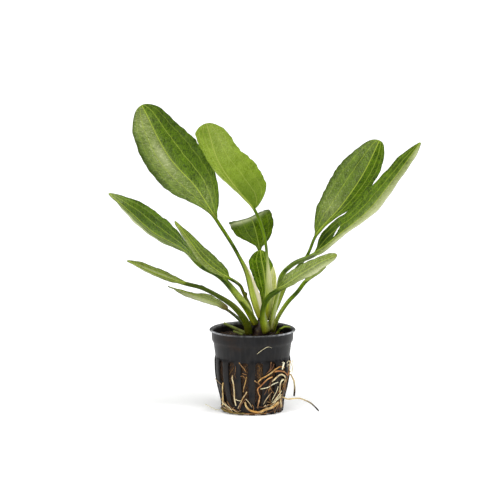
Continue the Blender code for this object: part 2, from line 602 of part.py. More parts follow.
def main():
    """Build every piece in its collection."""
    clear_scene()
    collection = make_collection(COLLECTION)
    cutters = make_collection("cutters")
    build_pot(collection, cutters)
    build_plug(collection)
    build_crown(collection)
    for leaf in [*LEAVES, OLD_STRAP]:
        build_leaf(leaf, collection)
    old = make_material("old_stalk", OLD_STALK_COLOUR, 0.5)
    for name, (points, thick, thin) in OLD_STALKS.items():
        build_strand(name, points, thick, thin, old, collection)
    for root in ROOTS:
        material = make_material(root.name + "_skin", root.colour, 0.55)
        route = [*(on_pot(*stop) for stop in root.stops), *root.loose]
        build_strand(root.name, route, root.thick, root.thin, material, collection)


if __name__ == "__main__":
    main()
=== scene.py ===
"""Potted echinodorus: the looks of a rosette of broad leaves in a small net pot.

Shapes are worked out in millimetres and each mesh is written in metres. The origin is the centre of
the pot's underside, +Z is up and -Y is the front. Most pieces stand in the place of their CAD nodes,
and the soil crumbs, coir fibres and fine roots stand for none.
"""

import logging
import math
from dataclasses import dataclass, field
from enum import Enum

import bpy
import numpy as np
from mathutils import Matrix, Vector, noise


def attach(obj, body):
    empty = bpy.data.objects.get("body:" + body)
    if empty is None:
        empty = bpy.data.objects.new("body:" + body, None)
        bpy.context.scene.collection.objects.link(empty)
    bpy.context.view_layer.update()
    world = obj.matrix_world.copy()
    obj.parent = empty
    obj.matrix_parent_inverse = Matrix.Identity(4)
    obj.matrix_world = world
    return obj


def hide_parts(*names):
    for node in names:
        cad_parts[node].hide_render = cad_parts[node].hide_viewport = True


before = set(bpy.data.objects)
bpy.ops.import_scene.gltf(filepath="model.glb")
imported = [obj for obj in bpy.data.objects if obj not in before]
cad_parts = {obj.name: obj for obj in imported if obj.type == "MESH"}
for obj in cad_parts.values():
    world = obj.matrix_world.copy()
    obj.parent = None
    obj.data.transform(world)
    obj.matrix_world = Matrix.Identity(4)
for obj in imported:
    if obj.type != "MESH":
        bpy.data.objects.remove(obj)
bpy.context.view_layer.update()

MM = 0.001
BODY = "root"
LOG = logging.getLogger("echinodorus")

Points = list[tuple[float, ...]]
Rows = tuple[tuple[float, ...], ...]
Socket = bpy.types.NodeSocket


def linear(colour: str) -> tuple[float, float, float, float]:
    """Turn an sRGB hex colour to linear light.

    Args:
        colour: The colour as #rrggbb.

    Returns:
        Red, green, blue and an alpha of one.
    """
    parts = [int(colour[i : i + 2], 16) / 255 for i in (1, 3, 5)]
    red, green, blue = (c / 12.92 if c <= 0.04045 else ((c + 0.055) / 1.055) ** 2.4 for c in parts)
    return red, green, blue, 1.0


class Look:
    """A material while it is being put together."""

    USUAL = {"Mix": {"data_type": "RGBA"}}

    def __init__(self, name: str) -> None:
        """Start a material.

        Args:
            name: The material's name.
        """
        self.material = bpy.data.materials.new(name)
        self.material.use_nodes = True
        self.tree = self.material.node_tree
        self.shader = self.tree.nodes["Principled BSDF"]

    def join(self, socket: Socket, value: Socket | str | float | tuple) -> None:
        """Feed an input.

        Args:
            socket: The input.
            value: The output that feeds it, a hex colour, or its value.
        """
        if isinstance(value, Socket):
            self.tree.links.new(value, socket)
        else:
            socket.default_value = linear(value) if isinstance(value, str) else value

    def add(self, kind: str, *values: Socket | str | float | tuple, out: str = "", **named) -> Socket:
        """Add a node with its settings and links. A mix is of colours unless it is told otherwise.

        Args:
            kind: Blender's name of the node type, without ShaderNode in front.
            *values: What feeds its inputs, in order.
            out: The output to give back, when it isn't the first.
            **named: The node's settings by property name, and inputs by their own name.

        Returns:
            The output.
        """
        node = self.tree.nodes.new("ShaderNode" + kind)
        named = {**self.USUAL.get(kind, {}), **named}
        for name in [name for name in named if hasattr(node, name)]:
            setattr(node, name, named.pop(name))
        for socket, value in zip([s for s in node.inputs if s.enabled], values):
            self.join(socket, value)
        for name, value in named.items():
            self.join(node.inputs[name], value)
        return node.outputs[out] if out else next(s for s in node.outputs if s.enabled)

    def place(self) -> Socket:
        """The point of the surface, in millimetres."""
        return self.add("VectorMath", self.add("TexCoord", out="Object"), Scale=1 / MM, operation="SCALE")

    def finish(self, inputs: dict[str, Socket | str | float]) -> bpy.types.Material:
        """Set the shader's inputs.

        Args:
            inputs: What feeds each.

        Returns:
            The material.
        """
        for name, value in inputs.items():
            self.join(self.shader.inputs[name], value)
        return self.material


def ease(values: np.ndarray, stops: list[float], levels: list[float]) -> np.ndarray:
    """Read levels between stops, joined by half waves of a cosine.

    Args:
        values: Where to read.
        stops: The places of the levels, in order.
        levels: The level at each stop.

    Returns:
        One level for each value.
    """
    values = np.clip(np.asarray(values, float), stops[0], stops[-1])
    at = np.clip(np.searchsorted(stops, values, side="right") - 1, 0, len(stops) - 2)
    low, high = np.array(stops)[at], np.array(stops)[at + 1]
    share = 0.5 - 0.5 * np.cos(np.pi * (values - low) / (high - low))
    return np.array(levels)[at] * (1 - share) + np.array(levels)[at + 1] * share


def steady(values: np.ndarray, knots: Points) -> np.ndarray:
    """Read a smooth curve through knots that never overshoots them.

    Args:
        values: Where to read.
        knots: (place, level) pairs in order.

    Returns:
        One level for each value.
    """
    at, level = np.array(knots, float).T
    steps = np.diff(at)
    slopes = np.diff(level) / steps
    tangents = np.concatenate([slopes[:1], np.zeros(len(at) - 2), slopes[-1:]])
    for i in range(1, len(at) - 1):
        if slopes[i - 1] * slopes[i] > 0:
            tangents[i] = 2 / (1 / slopes[i - 1] + 1 / slopes[i])
    values = np.clip(values, at[0], at[-1])
    i = np.clip(np.searchsorted(at, values, side="right") - 1, 0, len(steps) - 1)
    t = (values - at[i]) / steps[i]
    return ((2 * t**3 - 3 * t**2 + 1) * level[i] + (t**3 - 2 * t**2 + t) * steps[i] * tangents[i]
            + (3 * t**2 - 2 * t**3) * level[i + 1] + (t**3 - t**2) * steps[i] * tangents[i + 1])


def unit(vectors: np.ndarray) -> np.ndarray:
    """The vectors, one unit long."""
    return vectors / np.linalg.norm(vectors, axis=-1, keepdims=True)


class Route:
    """A smooth curve through a few points, read by its length in millimetres."""

    DENSE = 24

    def __init__(self, points: Points) -> None:
        """Lay the curve.

        Args:
            points: The points that it passes.
        """
        given = np.array(points, float)
        chords = np.linalg.norm(np.diff(given, axis=0), axis=1)
        at = np.concatenate([[0.0], np.cumsum(chords)])
        slopes = np.gradient(given, at, axis=0)
        t = np.linspace(0.0, 1.0, self.DENSE, endpoint=False)[:, None]
        dense = [
            (2 * t**3 - 3 * t**2 + 1) * given[i] + (t**3 - 2 * t**2 + t) * chord * slopes[i]
            + (3 * t**2 - 2 * t**3) * given[i + 1] + (t**3 - t**2) * chord * slopes[i + 1]
            for i, chord in enumerate(chords)
        ]
        self.dense = np.concatenate([*dense, given[-1:]])
        steps = np.linalg.norm(np.diff(self.dense, axis=0), axis=1)
        self.along = np.concatenate([[0.0], np.cumsum(steps)])
        self.stops = [float(self.along[i * self.DENSE]) for i in range(len(given))]
        self.length = float(self.along[-1])

    def points(self, distances: np.ndarray) -> np.ndarray:
        """The points this far along."""
        return np.stack([np.interp(distances, self.along, self.dense[:, k]) for k in range(3)], axis=-1)

    def directions(self, distances: np.ndarray, reach: float = 1.0) -> np.ndarray:
        """The unit directions of travel there, read over this reach to each side."""
        return unit(self.points(distances + reach) - self.points(distances - reach))

    def evenly(self, step: float, least: int) -> tuple[np.ndarray, np.ndarray]:
        """Walk the curve in even steps.

        Args:
            step: About how long a step is.
            least: How many points there are at least.

        Returns:
            Shares of the curve's length, and the points there.
        """
        share = np.linspace(0.0, 1.0, max(least, round(self.length / step)))
        return share, self.points(share * self.length)


def lumps(points: np.ndarray, size: float, seed: float = 0.0) -> np.ndarray:
    """Smooth random levels from -1 to 1.

    Args:
        points: Where to read, in millimetres.
        size: How wide a lump is, in millimetres.
        seed: Moves the pattern.

    Returns:
        One level for each point.
    """
    shift = Vector((seed * 7.1, seed * 3.7, seed * 5.3))
    return np.array([noise.noise(Vector(p) / size + shift) for p in points])


def add_piece(name: str, points: np.ndarray, faces: list, finish: bpy.types.Material, slot: str,
              nodes: tuple[str, ...] = (), layers: dict[str, np.ndarray] | None = None,
              sharp: float | None = None) -> bpy.types.Object:
    """Make a smooth-shaded piece of the plant or its pot, and say what it rides on and stands for.

    Args:
        name: The piece's name.
        points: Its vertices in millimetres.
        faces: Vertex numbers of each face.
        finish: Its material.
        slot: The record's material slot.
        nodes: The CAD nodes that it stands for.
        layers: Numbers for each vertex that the material reads.
        sharp: The angle in degrees over which an edge is sharp.

    Returns:
        The new object.
    """
    mesh = bpy.data.meshes.new(name)
    mesh.from_pydata((np.asarray(points) * MM).tolist(), [], faces)
    for layer, numbers in (layers or {}).items():
        mesh.attributes.new(layer, "FLOAT", "POINT").data.foreach_set("value", np.asarray(numbers, np.float32))
    mesh.materials.append(finish)
    mesh.shade_smooth()
    if sharp is not None:
        mesh.set_sharp_from_angle(angle=math.radians(sharp))
    piece = bpy.data.objects.new(name, mesh)
    bpy.context.scene.collection.objects.link(piece)
    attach(piece, BODY)
    if nodes:
        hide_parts(*nodes)
    LOG.info("%s: %d faces", name, len(faces))
    return piece


def around(radius: np.ndarray | float, turn: np.ndarray, height: np.ndarray | float) -> np.ndarray:
    """Points by radius, angle in radians to the right of the front, and height."""
    return np.stack(np.broadcast_arrays(radius * np.sin(turn), -radius * np.cos(turn), height), axis=-1)


def degrees_round(points: np.ndarray) -> np.ndarray:
    """Each point's angle to the right of the front, in degrees."""
    return np.degrees(np.arctan2(points[:, 0], -points[:, 1]))


def ring_faces(rows: int, wide: int) -> list[tuple[int, int, int, int]]:
    """The faces between rows of vertices that each close to a ring."""
    return [(j * wide + i, j * wide + (i + 1) % wide, (j + 1) * wide + (i + 1) % wide, (j + 1) * wide + i)
            for j in range(rows - 1) for i in range(wide)]


class Strands:
    """Round strands with closed ends, gathered in one piece."""

    ASKEW = (0.31, 0.52, 0.79)  # no strand sets out this way

    def __init__(self, sides: int) -> None:
        """Start without a strand.

        Args:
            sides: Vertices in a ring.
        """
        self.sides = sides
        self.rings: list[np.ndarray] = []
        self.faces: list[tuple[int, ...]] = []
        self.reach: list[np.ndarray] = []
        self.shade: list[float] = []

    def add(self, route: np.ndarray, radii: np.ndarray, shade: float) -> None:
        """Add a strand.

        Args:
            route: The points of its middle, in millimetres.
            radii: Its radius at each.
            shade: How dark it is.
        """
        sides, count, first = self.sides, len(route), len(self.rings) * self.sides
        turn = np.arange(sides) * 2 * math.pi / sides
        along = np.gradient(route, axis=0)
        along /= np.linalg.norm(along, axis=1)[:, None]
        up = np.cross(along[0], self.ASKEW)
        for middle, way, radius in zip(route, along, radii):
            up = up - way * up.dot(way)
            up /= np.linalg.norm(up)
            side = np.cross(way, up)
            self.rings.append(middle + radius * (np.cos(turn)[:, None] * side + np.sin(turn)[:, None] * up))
        last = first + (count - 1) * sides
        self.faces.append(tuple(range(first + sides - 1, first - 1, -1)))
        self.faces += [tuple(first + corner for corner in face) for face in ring_faces(count, sides)]
        self.faces.append(tuple(range(last, last + sides)))
        self.reach.append(np.repeat(np.linspace(0.0, 1.0, count), sides))
        self.shade += [shade] * (count * sides)

    def build(self, name: str, finish: "RootSkin", slot: str, nodes: tuple[str, ...] = ()) -> None:
        """Make the piece.

        Args:
            name: The piece's name.
            finish: The skin of its strands.
            slot: The record's material slot.
            nodes: The CAD nodes that it stands for.
        """
        layers = {"reach": np.concatenate(self.reach), "shade": np.array(self.shade)}
        add_piece(name, np.concatenate(self.rings), self.faces, finish.make(), slot, nodes, layers)


@dataclass(frozen=True)
class LivingLeaf:
    """Living leaf tissue, grown: a waxy wet skin over green flesh that lets light through.

    The wax gives it a clear wet gloss, and a grey-green painted sheen with small painted glints
    stands in for the light that it reflects. The flesh glows yellow-green against the light, and the parallel
    veins show as thin pale lines with a fine ladder of veinlets between them. The places of the veins are
    shares of the half width.
    """

    RUNG = 1.6
    RIB = 0.5

    name: str = "living_leaf"
    deep: str = "#223a00"
    green: str = "#688a06"
    lower: str = "#809a1c"
    vein: str = "#bcd04a"
    film: str = "#b3bd78"
    # Colour of the painted glints, and of the pale patches, which are mostly painted highlights
    pale: str = "#dfe3b4"
    margin: str = "#2c3e02"
    spot: str = "#5f3a1a"
    stalk: str = "#84a40a"
    sheath: str = "#c6dc2c"
    inner_sheath: str = "#d8e468"
    cream: str = "#f8f0cc"
    foot: str = "#9c9428"
    glow: str = "#a8c400"
    glow_share: float = 0.18
    gloss: float = 0.18
    roughness: float = 0.27
    ior: float = 1.42
    veins_at: tuple[float, float] = (0.42, 0.74)
    veins_show: tuple[float, float] = (0.42, 0.22)

    def make(self) -> bpy.types.Material:
        """Build the material, once."""
        if self.name in bpy.data.materials:
            return bpy.data.materials[self.name]
        look = Look(self.name)
        layer = {n: look.add("Attribute", attribute_name=n, out="Fac")
                 for n in ("off", "out", "half", "reach", "upper", "blade", "ladder", "film", "pale", "brown",
                           "dark", "cream")}
        place = look.place()
        # Cloudy patches 5 mm wide, and a grain of 0.6 mm, the finest that the picture shows
        cloud = look.add("TexNoise", place, Scale=0.20, Detail=3.0)
        grain = look.add("TexNoise", place, Scale=1.6, Detail=2.0)
        # Veinlets 0.7 mm apart and 4 mm long, this coarse because the real ones are finer than the picture shows
        rungs = look.add("Math", layer["ladder"], 1 / self.RUNG, operation="MULTIPLY")
        rungs = look.add("CombineXYZ", rungs, look.add("Math", layer["out"], 1 / 9, operation="MULTIPLY"), 0.0)
        rungs = look.add("TexNoise", rungs, Scale=2.4, Detail=3.0, Roughness=0.7)

        # The midrib is 0.5 mm to each side, and the side veins a little less
        lines = look.add("MapRange", layer["out"], 0.12, 0.48, 0.85, 0.0)
        for at, strength in zip(self.veins_at, self.veins_show):
            away = look.add("Math", layer["off"], at, operation="SUBTRACT")
            away = look.add("Math", away, operation="ABSOLUTE")
            away = look.add("Math", away, layer["half"], operation="MULTIPLY")
            line = look.add("MapRange", away, 0.08, 0.42, strength, 0.0)
            lines = look.add("Math", lines, line, operation="MAXIMUM")

        mottle = look.add("Math", cloud, 0.5, look.add("Math", rungs, grain, operation="ADD"),
                          operation="MULTIPLY_ADD")
        mottle = look.add("MapRange", mottle, 1.05, 1.44)
        skin = look.add("Mix", mottle, self.deep, self.green)
        under = look.add("Mix", mottle, self.green, self.lower)
        skin = look.add("Mix", layer["upper"], under, skin)
        # Painted sheen: grey-green colour stands in for the light that the wet wax reflects, broken up by the veinlets
        broken = look.add("MapRange", rungs, 0.34, 0.66, 0.40, 1.45)
        film = look.add("Math", layer["film"], broken, operation="MULTIPLY")
        skin = look.add("Mix", film, skin, self.film)
        # Painted glints: broken pale highlights of 0.9 mm, painted on the puckered skin where the painted sheen lies
        painted_glints = look.add("MapRange", look.add("TexNoise", place, Scale=1.1, Detail=1.0), 0.60, 0.70, 0.0, 0.9)
        painted_glints = look.add("Math", painted_glints, layer["film"], operation="MULTIPLY")
        skin = look.add("Mix", painted_glints, skin, self.pale)
        # Pale patches: mostly painted highlights and reflections where a blade or stalk catches the light, on a few
        # stalks their real pale tissue
        pale = look.add("Math", layer["pale"], look.add("MapRange", rungs, 0.3, 0.6, 0.75, 1.1), operation="MULTIPLY")
        skin = look.add("Mix", pale, skin, self.pale)
        # Dark patches: mostly painted shade where a blade or stalk lies in shade or turns from the light, on one blade
        # a real dark streak
        skin = look.add("Mix", layer["dark"], skin, self.deep)
        skin = look.add("Mix", lines, skin, self.vein)
        inset = look.add("Math", 1.0, layer["off"], operation="SUBTRACT")
        inset = look.add("Math", inset, layer["half"], operation="MULTIPLY")
        edge = look.add("MapRange", inset, 0.0, 0.45, 0.75, 0.0)
        skin = look.add("Mix", edge, skin, self.margin)

        sheath = look.add("Mix", layer["upper"], self.sheath, self.inner_sheath)
        low = look.add("MapRange", layer["reach"], 0.02, 0.20)
        sheath = look.add("Mix", low, self.foot, sheath)
        # Fine ribs, 0.5 mm apart and 8 mm long, run along the stalk
        ribs = look.add("CombineXYZ", layer["out"], look.add("Math", layer["ladder"], 0.06, operation="MULTIPLY"), 3.0)
        ribs = look.add("MapRange", look.add("TexNoise", ribs, Scale=1 / self.RIB, Detail=1.0), 0.35, 0.65)
        stalk = look.add("Mix", ribs, self.deep, self.stalk)
        sheath = look.add("Mix", look.add("Math", ribs, 0.45, operation="MULTIPLY"), sheath, self.stalk)
        stalk = look.add("Mix", look.add("MapRange", layer["reach"], 0.18, 0.62), sheath, stalk)
        # Painted shade darkens the sides of the round stalk; the dark and pale patches paint shade and highlights on
        # it too
        painted_flank_shade = look.add("MapRange", layer["off"], 0.60, 0.98, 0.0, 0.55)
        stalk = look.add("Mix", painted_flank_shade, stalk, self.deep)
        stalk = look.add("Mix", layer["dark"], stalk, self.deep)
        stalk = look.add("Mix", pale, stalk, self.pale)
        stalk = look.add("Mix", layer["cream"], stalk, self.cream)
        colour = look.add("Mix", layer["blade"], stalk, skin)
        spotted = look.add("Math", layer["brown"], look.add("MapRange", grain, 0.3, 0.6, 0.6, 1.0),
                           operation="MULTIPLY")
        colour = look.add("Mix", spotted, colour, self.spot)

        wet = look.add("MapRange", cloud, 0.30, 0.70, self.roughness - 0.08, self.roughness + 0.14)
        height = look.add("Math", lines, 0.8, rungs, operation="MULTIPLY_ADD")
        height = look.add("Math", grain, 0.4, height, operation="MULTIPLY_ADD")
        bump = look.add("Bump", Strength=0.9, Distance=0.5 * MM, Height=height)
        material = look.finish({"Base Color": colour, "Roughness": wet, "Normal": bump, "IOR": self.ior,
                                "Specular IOR Level": self.gloss})
        lit = look.add("Mix", 0.5, colour, self.glow)
        through = look.add("BsdfTranslucent", lit, bump)
        both = look.add("MixShader", self.glow_share, look.shader.outputs[0], through)
        look.join(look.tree.nodes["Material Output"].inputs["Surface"], both)
        return material


@dataclass(frozen=True)
class MouldedPolypropylene:
    """Polypropylene, injection moulded: charcoal grey and waxy, with a soft satin sheen.

    Handling and tank water leave it dull and streaked with a brown deposit, and pale painted highlights lie along the
    lip.
    """

    plastic: str = "#0c0c0e"
    scuffed: str = "#202022"
    # Pale grey of the highlights painted along the lip
    painted_highlight: str = "#c0c2c6"
    dust: str = "#3c3328"
    mud: str = "#2b1b0e"
    ior: float = 1.49
    gloss: float = 0.22

    def make(self) -> bpy.types.Material:
        """Build the material."""
        look = Look("moulded_polypropylene")
        place = look.place()
        height = look.add("SeparateXYZ", place, out="Z")
        # Streaks 2 mm wide and 12 mm long run down the wall, the grain of the mould is 0.4 mm and dust
        # lies in blots of 4.5 mm
        drawn = look.add("VectorMath", place, (1.0, 1.0, 0.16), operation="MULTIPLY")
        streak = look.add("TexNoise", drawn, Scale=0.5, Detail=4.0)
        grain = look.add("TexNoise", place, Scale=2.5, Detail=2.0)
        blot = look.add("TexNoise", place, Scale=0.22, Detail=5.0)
        scuff = look.add("MapRange", streak, 0.42, 0.68, 0.0, 0.8)
        colour = look.add("Mix", scuff, self.plastic, self.scuffed)
        low = look.add("MapRange", height, 4.0, 32.0, 0.6, 0.10)
        dirt = look.add("Math", look.add("MapRange", blot, 0.42, 0.64), low, operation="MULTIPLY")
        colour = look.add("Mix", dirt, colour, self.dust)
        mud = look.add("Attribute", attribute_name="mud", out="Fac")
        mud = look.add("Math", mud, look.add("MapRange", grain, 0.40, 0.60), operation="MULTIPLY")
        colour = look.add("Mix", mud, colour, self.mud)
        # Painted highlights: pale grey streaks along the lip stand in for the light it reflects
        painted_shine = look.add("Attribute", attribute_name="painted_shine", out="Fac")
        painted_shine = look.add("Math", painted_shine, look.add("MapRange", streak, 0.35, 0.6, 0.3, 1.0), operation="MULTIPLY")
        colour = look.add("Mix", painted_shine, colour, self.painted_highlight)
        dull = look.add("MapRange", streak, 0.3, 0.7, 0.38, 0.52)
        dull = look.add("Math", dirt, 0.3, dull, operation="MULTIPLY_ADD")
        bump = look.add("Bump", Strength=0.3, Distance=0.15 * MM, Height=grain)
        return look.finish({"Base Color": colour, "Roughness": dull, "Normal": bump, "IOR": self.ior,
                            "Specular IOR Level": self.gloss})


@dataclass(frozen=True)
class PeatFibre:
    """Peat and coir fibre, pressed: near-black brown and crumbly, with paler bits.

    It is wet and rough, so it drinks light apart from a few damp glints.
    """

    peat: str = "#1d120a"
    crumb: str = "#3f2814"
    coir: str = "#86602a"

    def make(self) -> bpy.types.Material:
        """Build the material."""
        look = Look("pressed_peat_fibre")
        place = look.place()
        # Crumbs of 1.7 mm, and coir fibres 0.8 mm wide and 2.5 mm long, coarser than real ones so that they show
        crumbs = look.add("TexNoise", place, Scale=0.6, Detail=5.0)
        drawn = look.add("VectorMath", place, (1.0, 1.0, 0.3), operation="MULTIPLY")
        fibres = look.add("TexNoise", drawn, Scale=1.3, Detail=3.0, Distortion=1.4)
        colour = look.add("MapRange", crumbs, 0.35, 0.65)
        colour = look.add("Mix", colour, self.peat, self.crumb)
        worn = look.add("Attribute", attribute_name="worn", out="Fac")
        bare = look.add("MapRange", look.add("Math", worn, 0.18, fibres, operation="MULTIPLY_ADD"), 0.60, 0.74, 0.0,
                        0.8)
        colour = look.add("Mix", bare, colour, self.coir)
        both = look.add("Math", crumbs, fibres, operation="ADD")
        bump = look.add("Bump", Strength=0.8, Distance=0.8 * MM, Height=both)
        rough = look.add("MapRange", crumbs, 0.4, 0.6, 0.70, 0.98)
        return look.finish({"Base Color": colour, "Roughness": rough, "Normal": bump})


@dataclass(frozen=True)
class RootSkin:
    """Root skin, grown: a dry corky sleeve over a firm cord.

    It is matt with a slight silk, pale where it is new, and blotched where soil has stained it.
    """

    name: str
    base: str
    pale: str
    stain: str = "#5c3212"
    tip: str = ""
    stained: float = 0.8

    def make(self) -> bpy.types.Material:
        """Build the material, once."""
        if self.name in bpy.data.materials:
            return bpy.data.materials[self.name]
        look = Look(self.name)
        place = look.place()
        # Stains of 2.6 mm, new and old skin in stretches of 6 mm, and wrinkles of 0.4 mm
        blot = look.add("TexNoise", place, Scale=0.38, Detail=4.0)
        patch = look.add("TexNoise", place, Scale=0.16, Detail=2.0)
        wrinkle = look.add("TexNoise", place, Scale=2.5, Detail=2.0)
        reach = look.add("Attribute", attribute_name="reach", out="Fac")
        shade = look.add("Attribute", attribute_name="shade", out="Fac")
        fresh = look.add("MapRange", look.add("Math", shade, patch, operation="ADD"), 0.35, 0.85)
        colour = look.add("Mix", fresh, self.pale, self.base)
        if self.tip:
            colour = look.add("Mix", look.add("MapRange", reach, 0.35, 0.85), colour, self.tip)
        dirty = look.add("MapRange", look.add("Math", shade, 0.35, blot, operation="MULTIPLY_ADD"), 0.48, 0.80, 0.0,
                         self.stained)
        colour = look.add("Mix", dirty, colour, self.stain)
        silk = look.add("MapRange", wrinkle, 0.3, 0.7, 0.42, 0.66)
        bump = look.add("Bump", Strength=0.6, Distance=0.2 * MM, Height=wrinkle)
        return look.finish({"Base Color": colour, "Roughness": silk, "Normal": bump})


@dataclass(frozen=True)
class RootStock:
    """Root stock, grown: a knobbly crown, red-brown where old leaves have come away."""

    scale: str = "#240e06"
    flesh: str = "#4a3a14"
    roughness: float = 0.55

    def make(self) -> bpy.types.Material:
        """Build the material."""
        look = Look("grown_root_stock")
        # Scars are about 2 mm wide
        blot = look.add("TexNoise", look.place(), Scale=0.45, Detail=4.0)
        colour = look.add("Mix", look.add("MapRange", blot, 0.50, 0.66), self.scale, self.flesh)
        bump = look.add("Bump", Strength=0.7, Distance=0.5 * MM, Height=blot)
        return look.finish({"Base Color": colour, "Roughness": self.roughness, "Normal": bump})


class Mark(Enum):
    """What a patch on a leaf does to it."""

    # Painted sheen: grey-green colour that stands in for light reflected by the waxy skin
    PAINTED_SHEEN = "film"
    # Paler: mostly painted highlights and reflections, on a few stalks real pale tissue
    PALE = "pale"
    BROWN = "brown"
    # Darker: mostly painted shade, on one blade a real dark streak
    DARK = "dark"


@dataclass
class Patch:
    """A soft-edged patch on a leaf.

    Its place and size are shares of the blade's length and of its half width, negative to the left.
    On the stalk the share of the length is negative.
    """

    mark: Mark
    share: float
    across: float
    length: float
    width: float
    strength: float = 1.0


@dataclass
class Tear:
    """A long hole through a blade, placed as a patch is, and leaning this much with the distance."""

    share: float
    across: float
    length: float
    width: float
    lean: float = 0.0

    def away(self, share: np.ndarray, across: np.ndarray) -> np.ndarray:
        """How far from the middle the places are, with 1 on the edge of the hole."""
        along = share - self.share
        return np.hypot(along / self.length, (across - self.across - self.lean * along) / self.width)


@dataclass
class Leaf:
    """One leaf as it grew: a sheath on the crown, a stalk and a blade.

    Left and right are as seen from the upper side, with the tip up. Half widths are in millimetres at
    a share of the blade's length, and those of the wings, left and right, at a distance from the foot.
    Where two numbers stand for one thing, they are those of the left and the right half.
    """

    name: str
    route: Points  # the stalk and midrib, from the crown to the tip
    blade_from: int  # the stop of the route where the blade begins
    left: Points
    right: Points
    facing: dict[int, tuple[float, float, float]]  # the way the upper side looks at a stop
    foot: float = 1.8  # half width on the crown
    sheath: float = 2.6  # half width of the sheath where it is widest
    sheath_at: float = 12.0
    sheath_to: float = 34.0
    stalk: float = 1.1  # radius of the stalk below the blade
    thickness: float = 0.95  # half thickness of the sheath
    clasp: float = 18.0  # degrees that the sheath's sides turn in
    fold: float = 14.0  # degrees that each half of the blade rises
    wave: float = 0.5  # height of the margin's waves
    waves: float = 2.5
    phase: float = 0.0
    wings: tuple[Points, Points] = ((), ())
    membrane: tuple[float, float] = (0.0, 0.0)  # how dry and cream the wings are
    # How strongly a painted sheen, standing in for reflected light, lies on each half
    film: tuple[float, float] = (0.08, 0.08)
    patches: list[Patch] = field(default_factory=list)
    tear: Tear | None = None
    finish: LivingLeaf = field(default_factory=LivingLeaf)
    slot: str = "leaf_green"
    stations: int = 110
    columns: int = 41

    SKIN = 0.18  # half thickness of the margin
    TIP = 0.998  # the last station, as a share of the blade
    STALK_STEP = 1.2
    MARGIN_THICKNESS = 0.22
    SWELL, SWELLS_APART = 0.026, 0.36
    CURL = 0.10
    VEIN_HEIGHT, VEIN_WIDTH = 0.12, 0.35
    UPPER_RIDGE, LOWER_RIDGE = 0.15, 0.95
    TEAR_EDGE = (0.70, 1.40)  # grid points between these move onto the tear's edge
    TORN_WITHIN = 0.97
    WING_WIDTH = 1.2
    LADDER_LEAN = 0.8

    def build(self) -> bpy.types.Object:
        """Build the leaf and dress it.

        Returns:
            The leaf.
        """
        route = Route(self.route)
        start = route.stops[self.blade_from]
        stalk = np.linspace(0.0, start, max(8, round(start / self.STALK_STEP)), endpoint=False)
        share = np.linspace(0.0, 1.0, self.stations)
        # Stations stand closer at both ends of the blade
        share = 0.6 * share + 0.4 * (0.5 - 0.5 * np.cos(np.pi * share))
        share = np.concatenate([(stalk - start) / (route.length - start), share * self.TIP])
        across = np.sin(np.linspace(-math.pi / 2, math.pi / 2, self.columns))
        share, across = np.meshgrid(share, across, indexing="ij")
        if self.tear:
            share, across = self._snapped(share, across)
        upper, lower, layers = self._skins(route, share, across)
        points, faces, side = self._closed(upper, lower, share, across, route)
        ringed = {name: np.append(np.concatenate([grid, grid[:, -2:0:-1]], axis=1).ravel(), grid[-1].mean())
                  for name, grid in layers.items()}
        return add_piece(self.name + "_grown", points, faces, self.finish.make(), self.slot, (self.name,),
                         {**ringed, "upper": side})

    def _snapped(self, share: np.ndarray, across: np.ndarray) -> tuple[np.ndarray, np.ndarray]:
        """Move the grid points near the tear's edge onto it."""
        away = self.tear.away(share, across)
        near = (away > self.TEAR_EDGE[0]) & (away < self.TEAR_EDGE[1])
        pull = np.where(near, 1 / np.maximum(away, 0.1), 1.0)
        along = share - self.tear.share
        middle = self.tear.across + self.tear.lean * along
        return (self.tear.share + along * pull,
                self.tear.across + self.tear.lean * along * pull + (across - middle) * pull)

    def _half_widths(self, steps: np.ndarray, share: np.ndarray) -> tuple[np.ndarray, np.ndarray, np.ndarray]:
        """Half widths of the leaf to its left and right, and of its stalk.

        Args:
            steps: Distances along the midrib.
            share: The same as shares of the blade's length.

        Returns:
            The three widths.
        """
        core = ease(steps, [0.0, self.sheath_at, self.sheath_to], [self.foot, self.sheath, self.stalk])
        # The margin is nibbled by a hundredth of the width
        worn = 1 + 0.010 * np.sin(47 * share + 9 * self.phase) + 0.008 * np.sin(89 * share + self.waves)
        sides = []
        for knots, wing in zip((self.left, self.right), self.wings):
            square = steady(share, [(0.0, self.stalk**2), *((t, w * w) for t, w in knots), (1.0, 0.0)])
            blade = np.sqrt(np.maximum(square, 0.0)) * worn
            sides.append(np.where(share > 0, blade, core + (steady(steps, wing) if wing else 0.0)))
        return sides[0], sides[1], core

    def _skins(self, route: Route, share: np.ndarray,
               across: np.ndarray) -> tuple[np.ndarray, np.ndarray, dict[str, np.ndarray]]:
        """The upper and lower skins of the leaf.

        Args:
            route: The midrib.
            share: Places along it, as shares of the blade's length.
            across: Places across it, as shares of the half width, negative to the left.

        Returns:
            The points of both skins, and what the material reads there.
        """
        start = route.stops[self.blade_from]
        steps = start + share * (route.length - start)
        left, right, core = self._half_widths(steps, share)
        half = np.where(across > 0, right, left)
        out = across * half
        off, far = np.abs(across), np.abs(out)

        along = route.directions(steps)
        stops = [route.stops[i] for i in self.facing]
        ways = np.array(list(self.facing.values())).T
        up = np.stack([ease(steps, stops, list(way)) if len(stops) > 1 else np.full(steps.shape, way[0])
                       for way in ways], axis=-1)
        up = unit(up - along * (along * up).sum(-1, keepdims=True))
        side = np.cross(along, up)

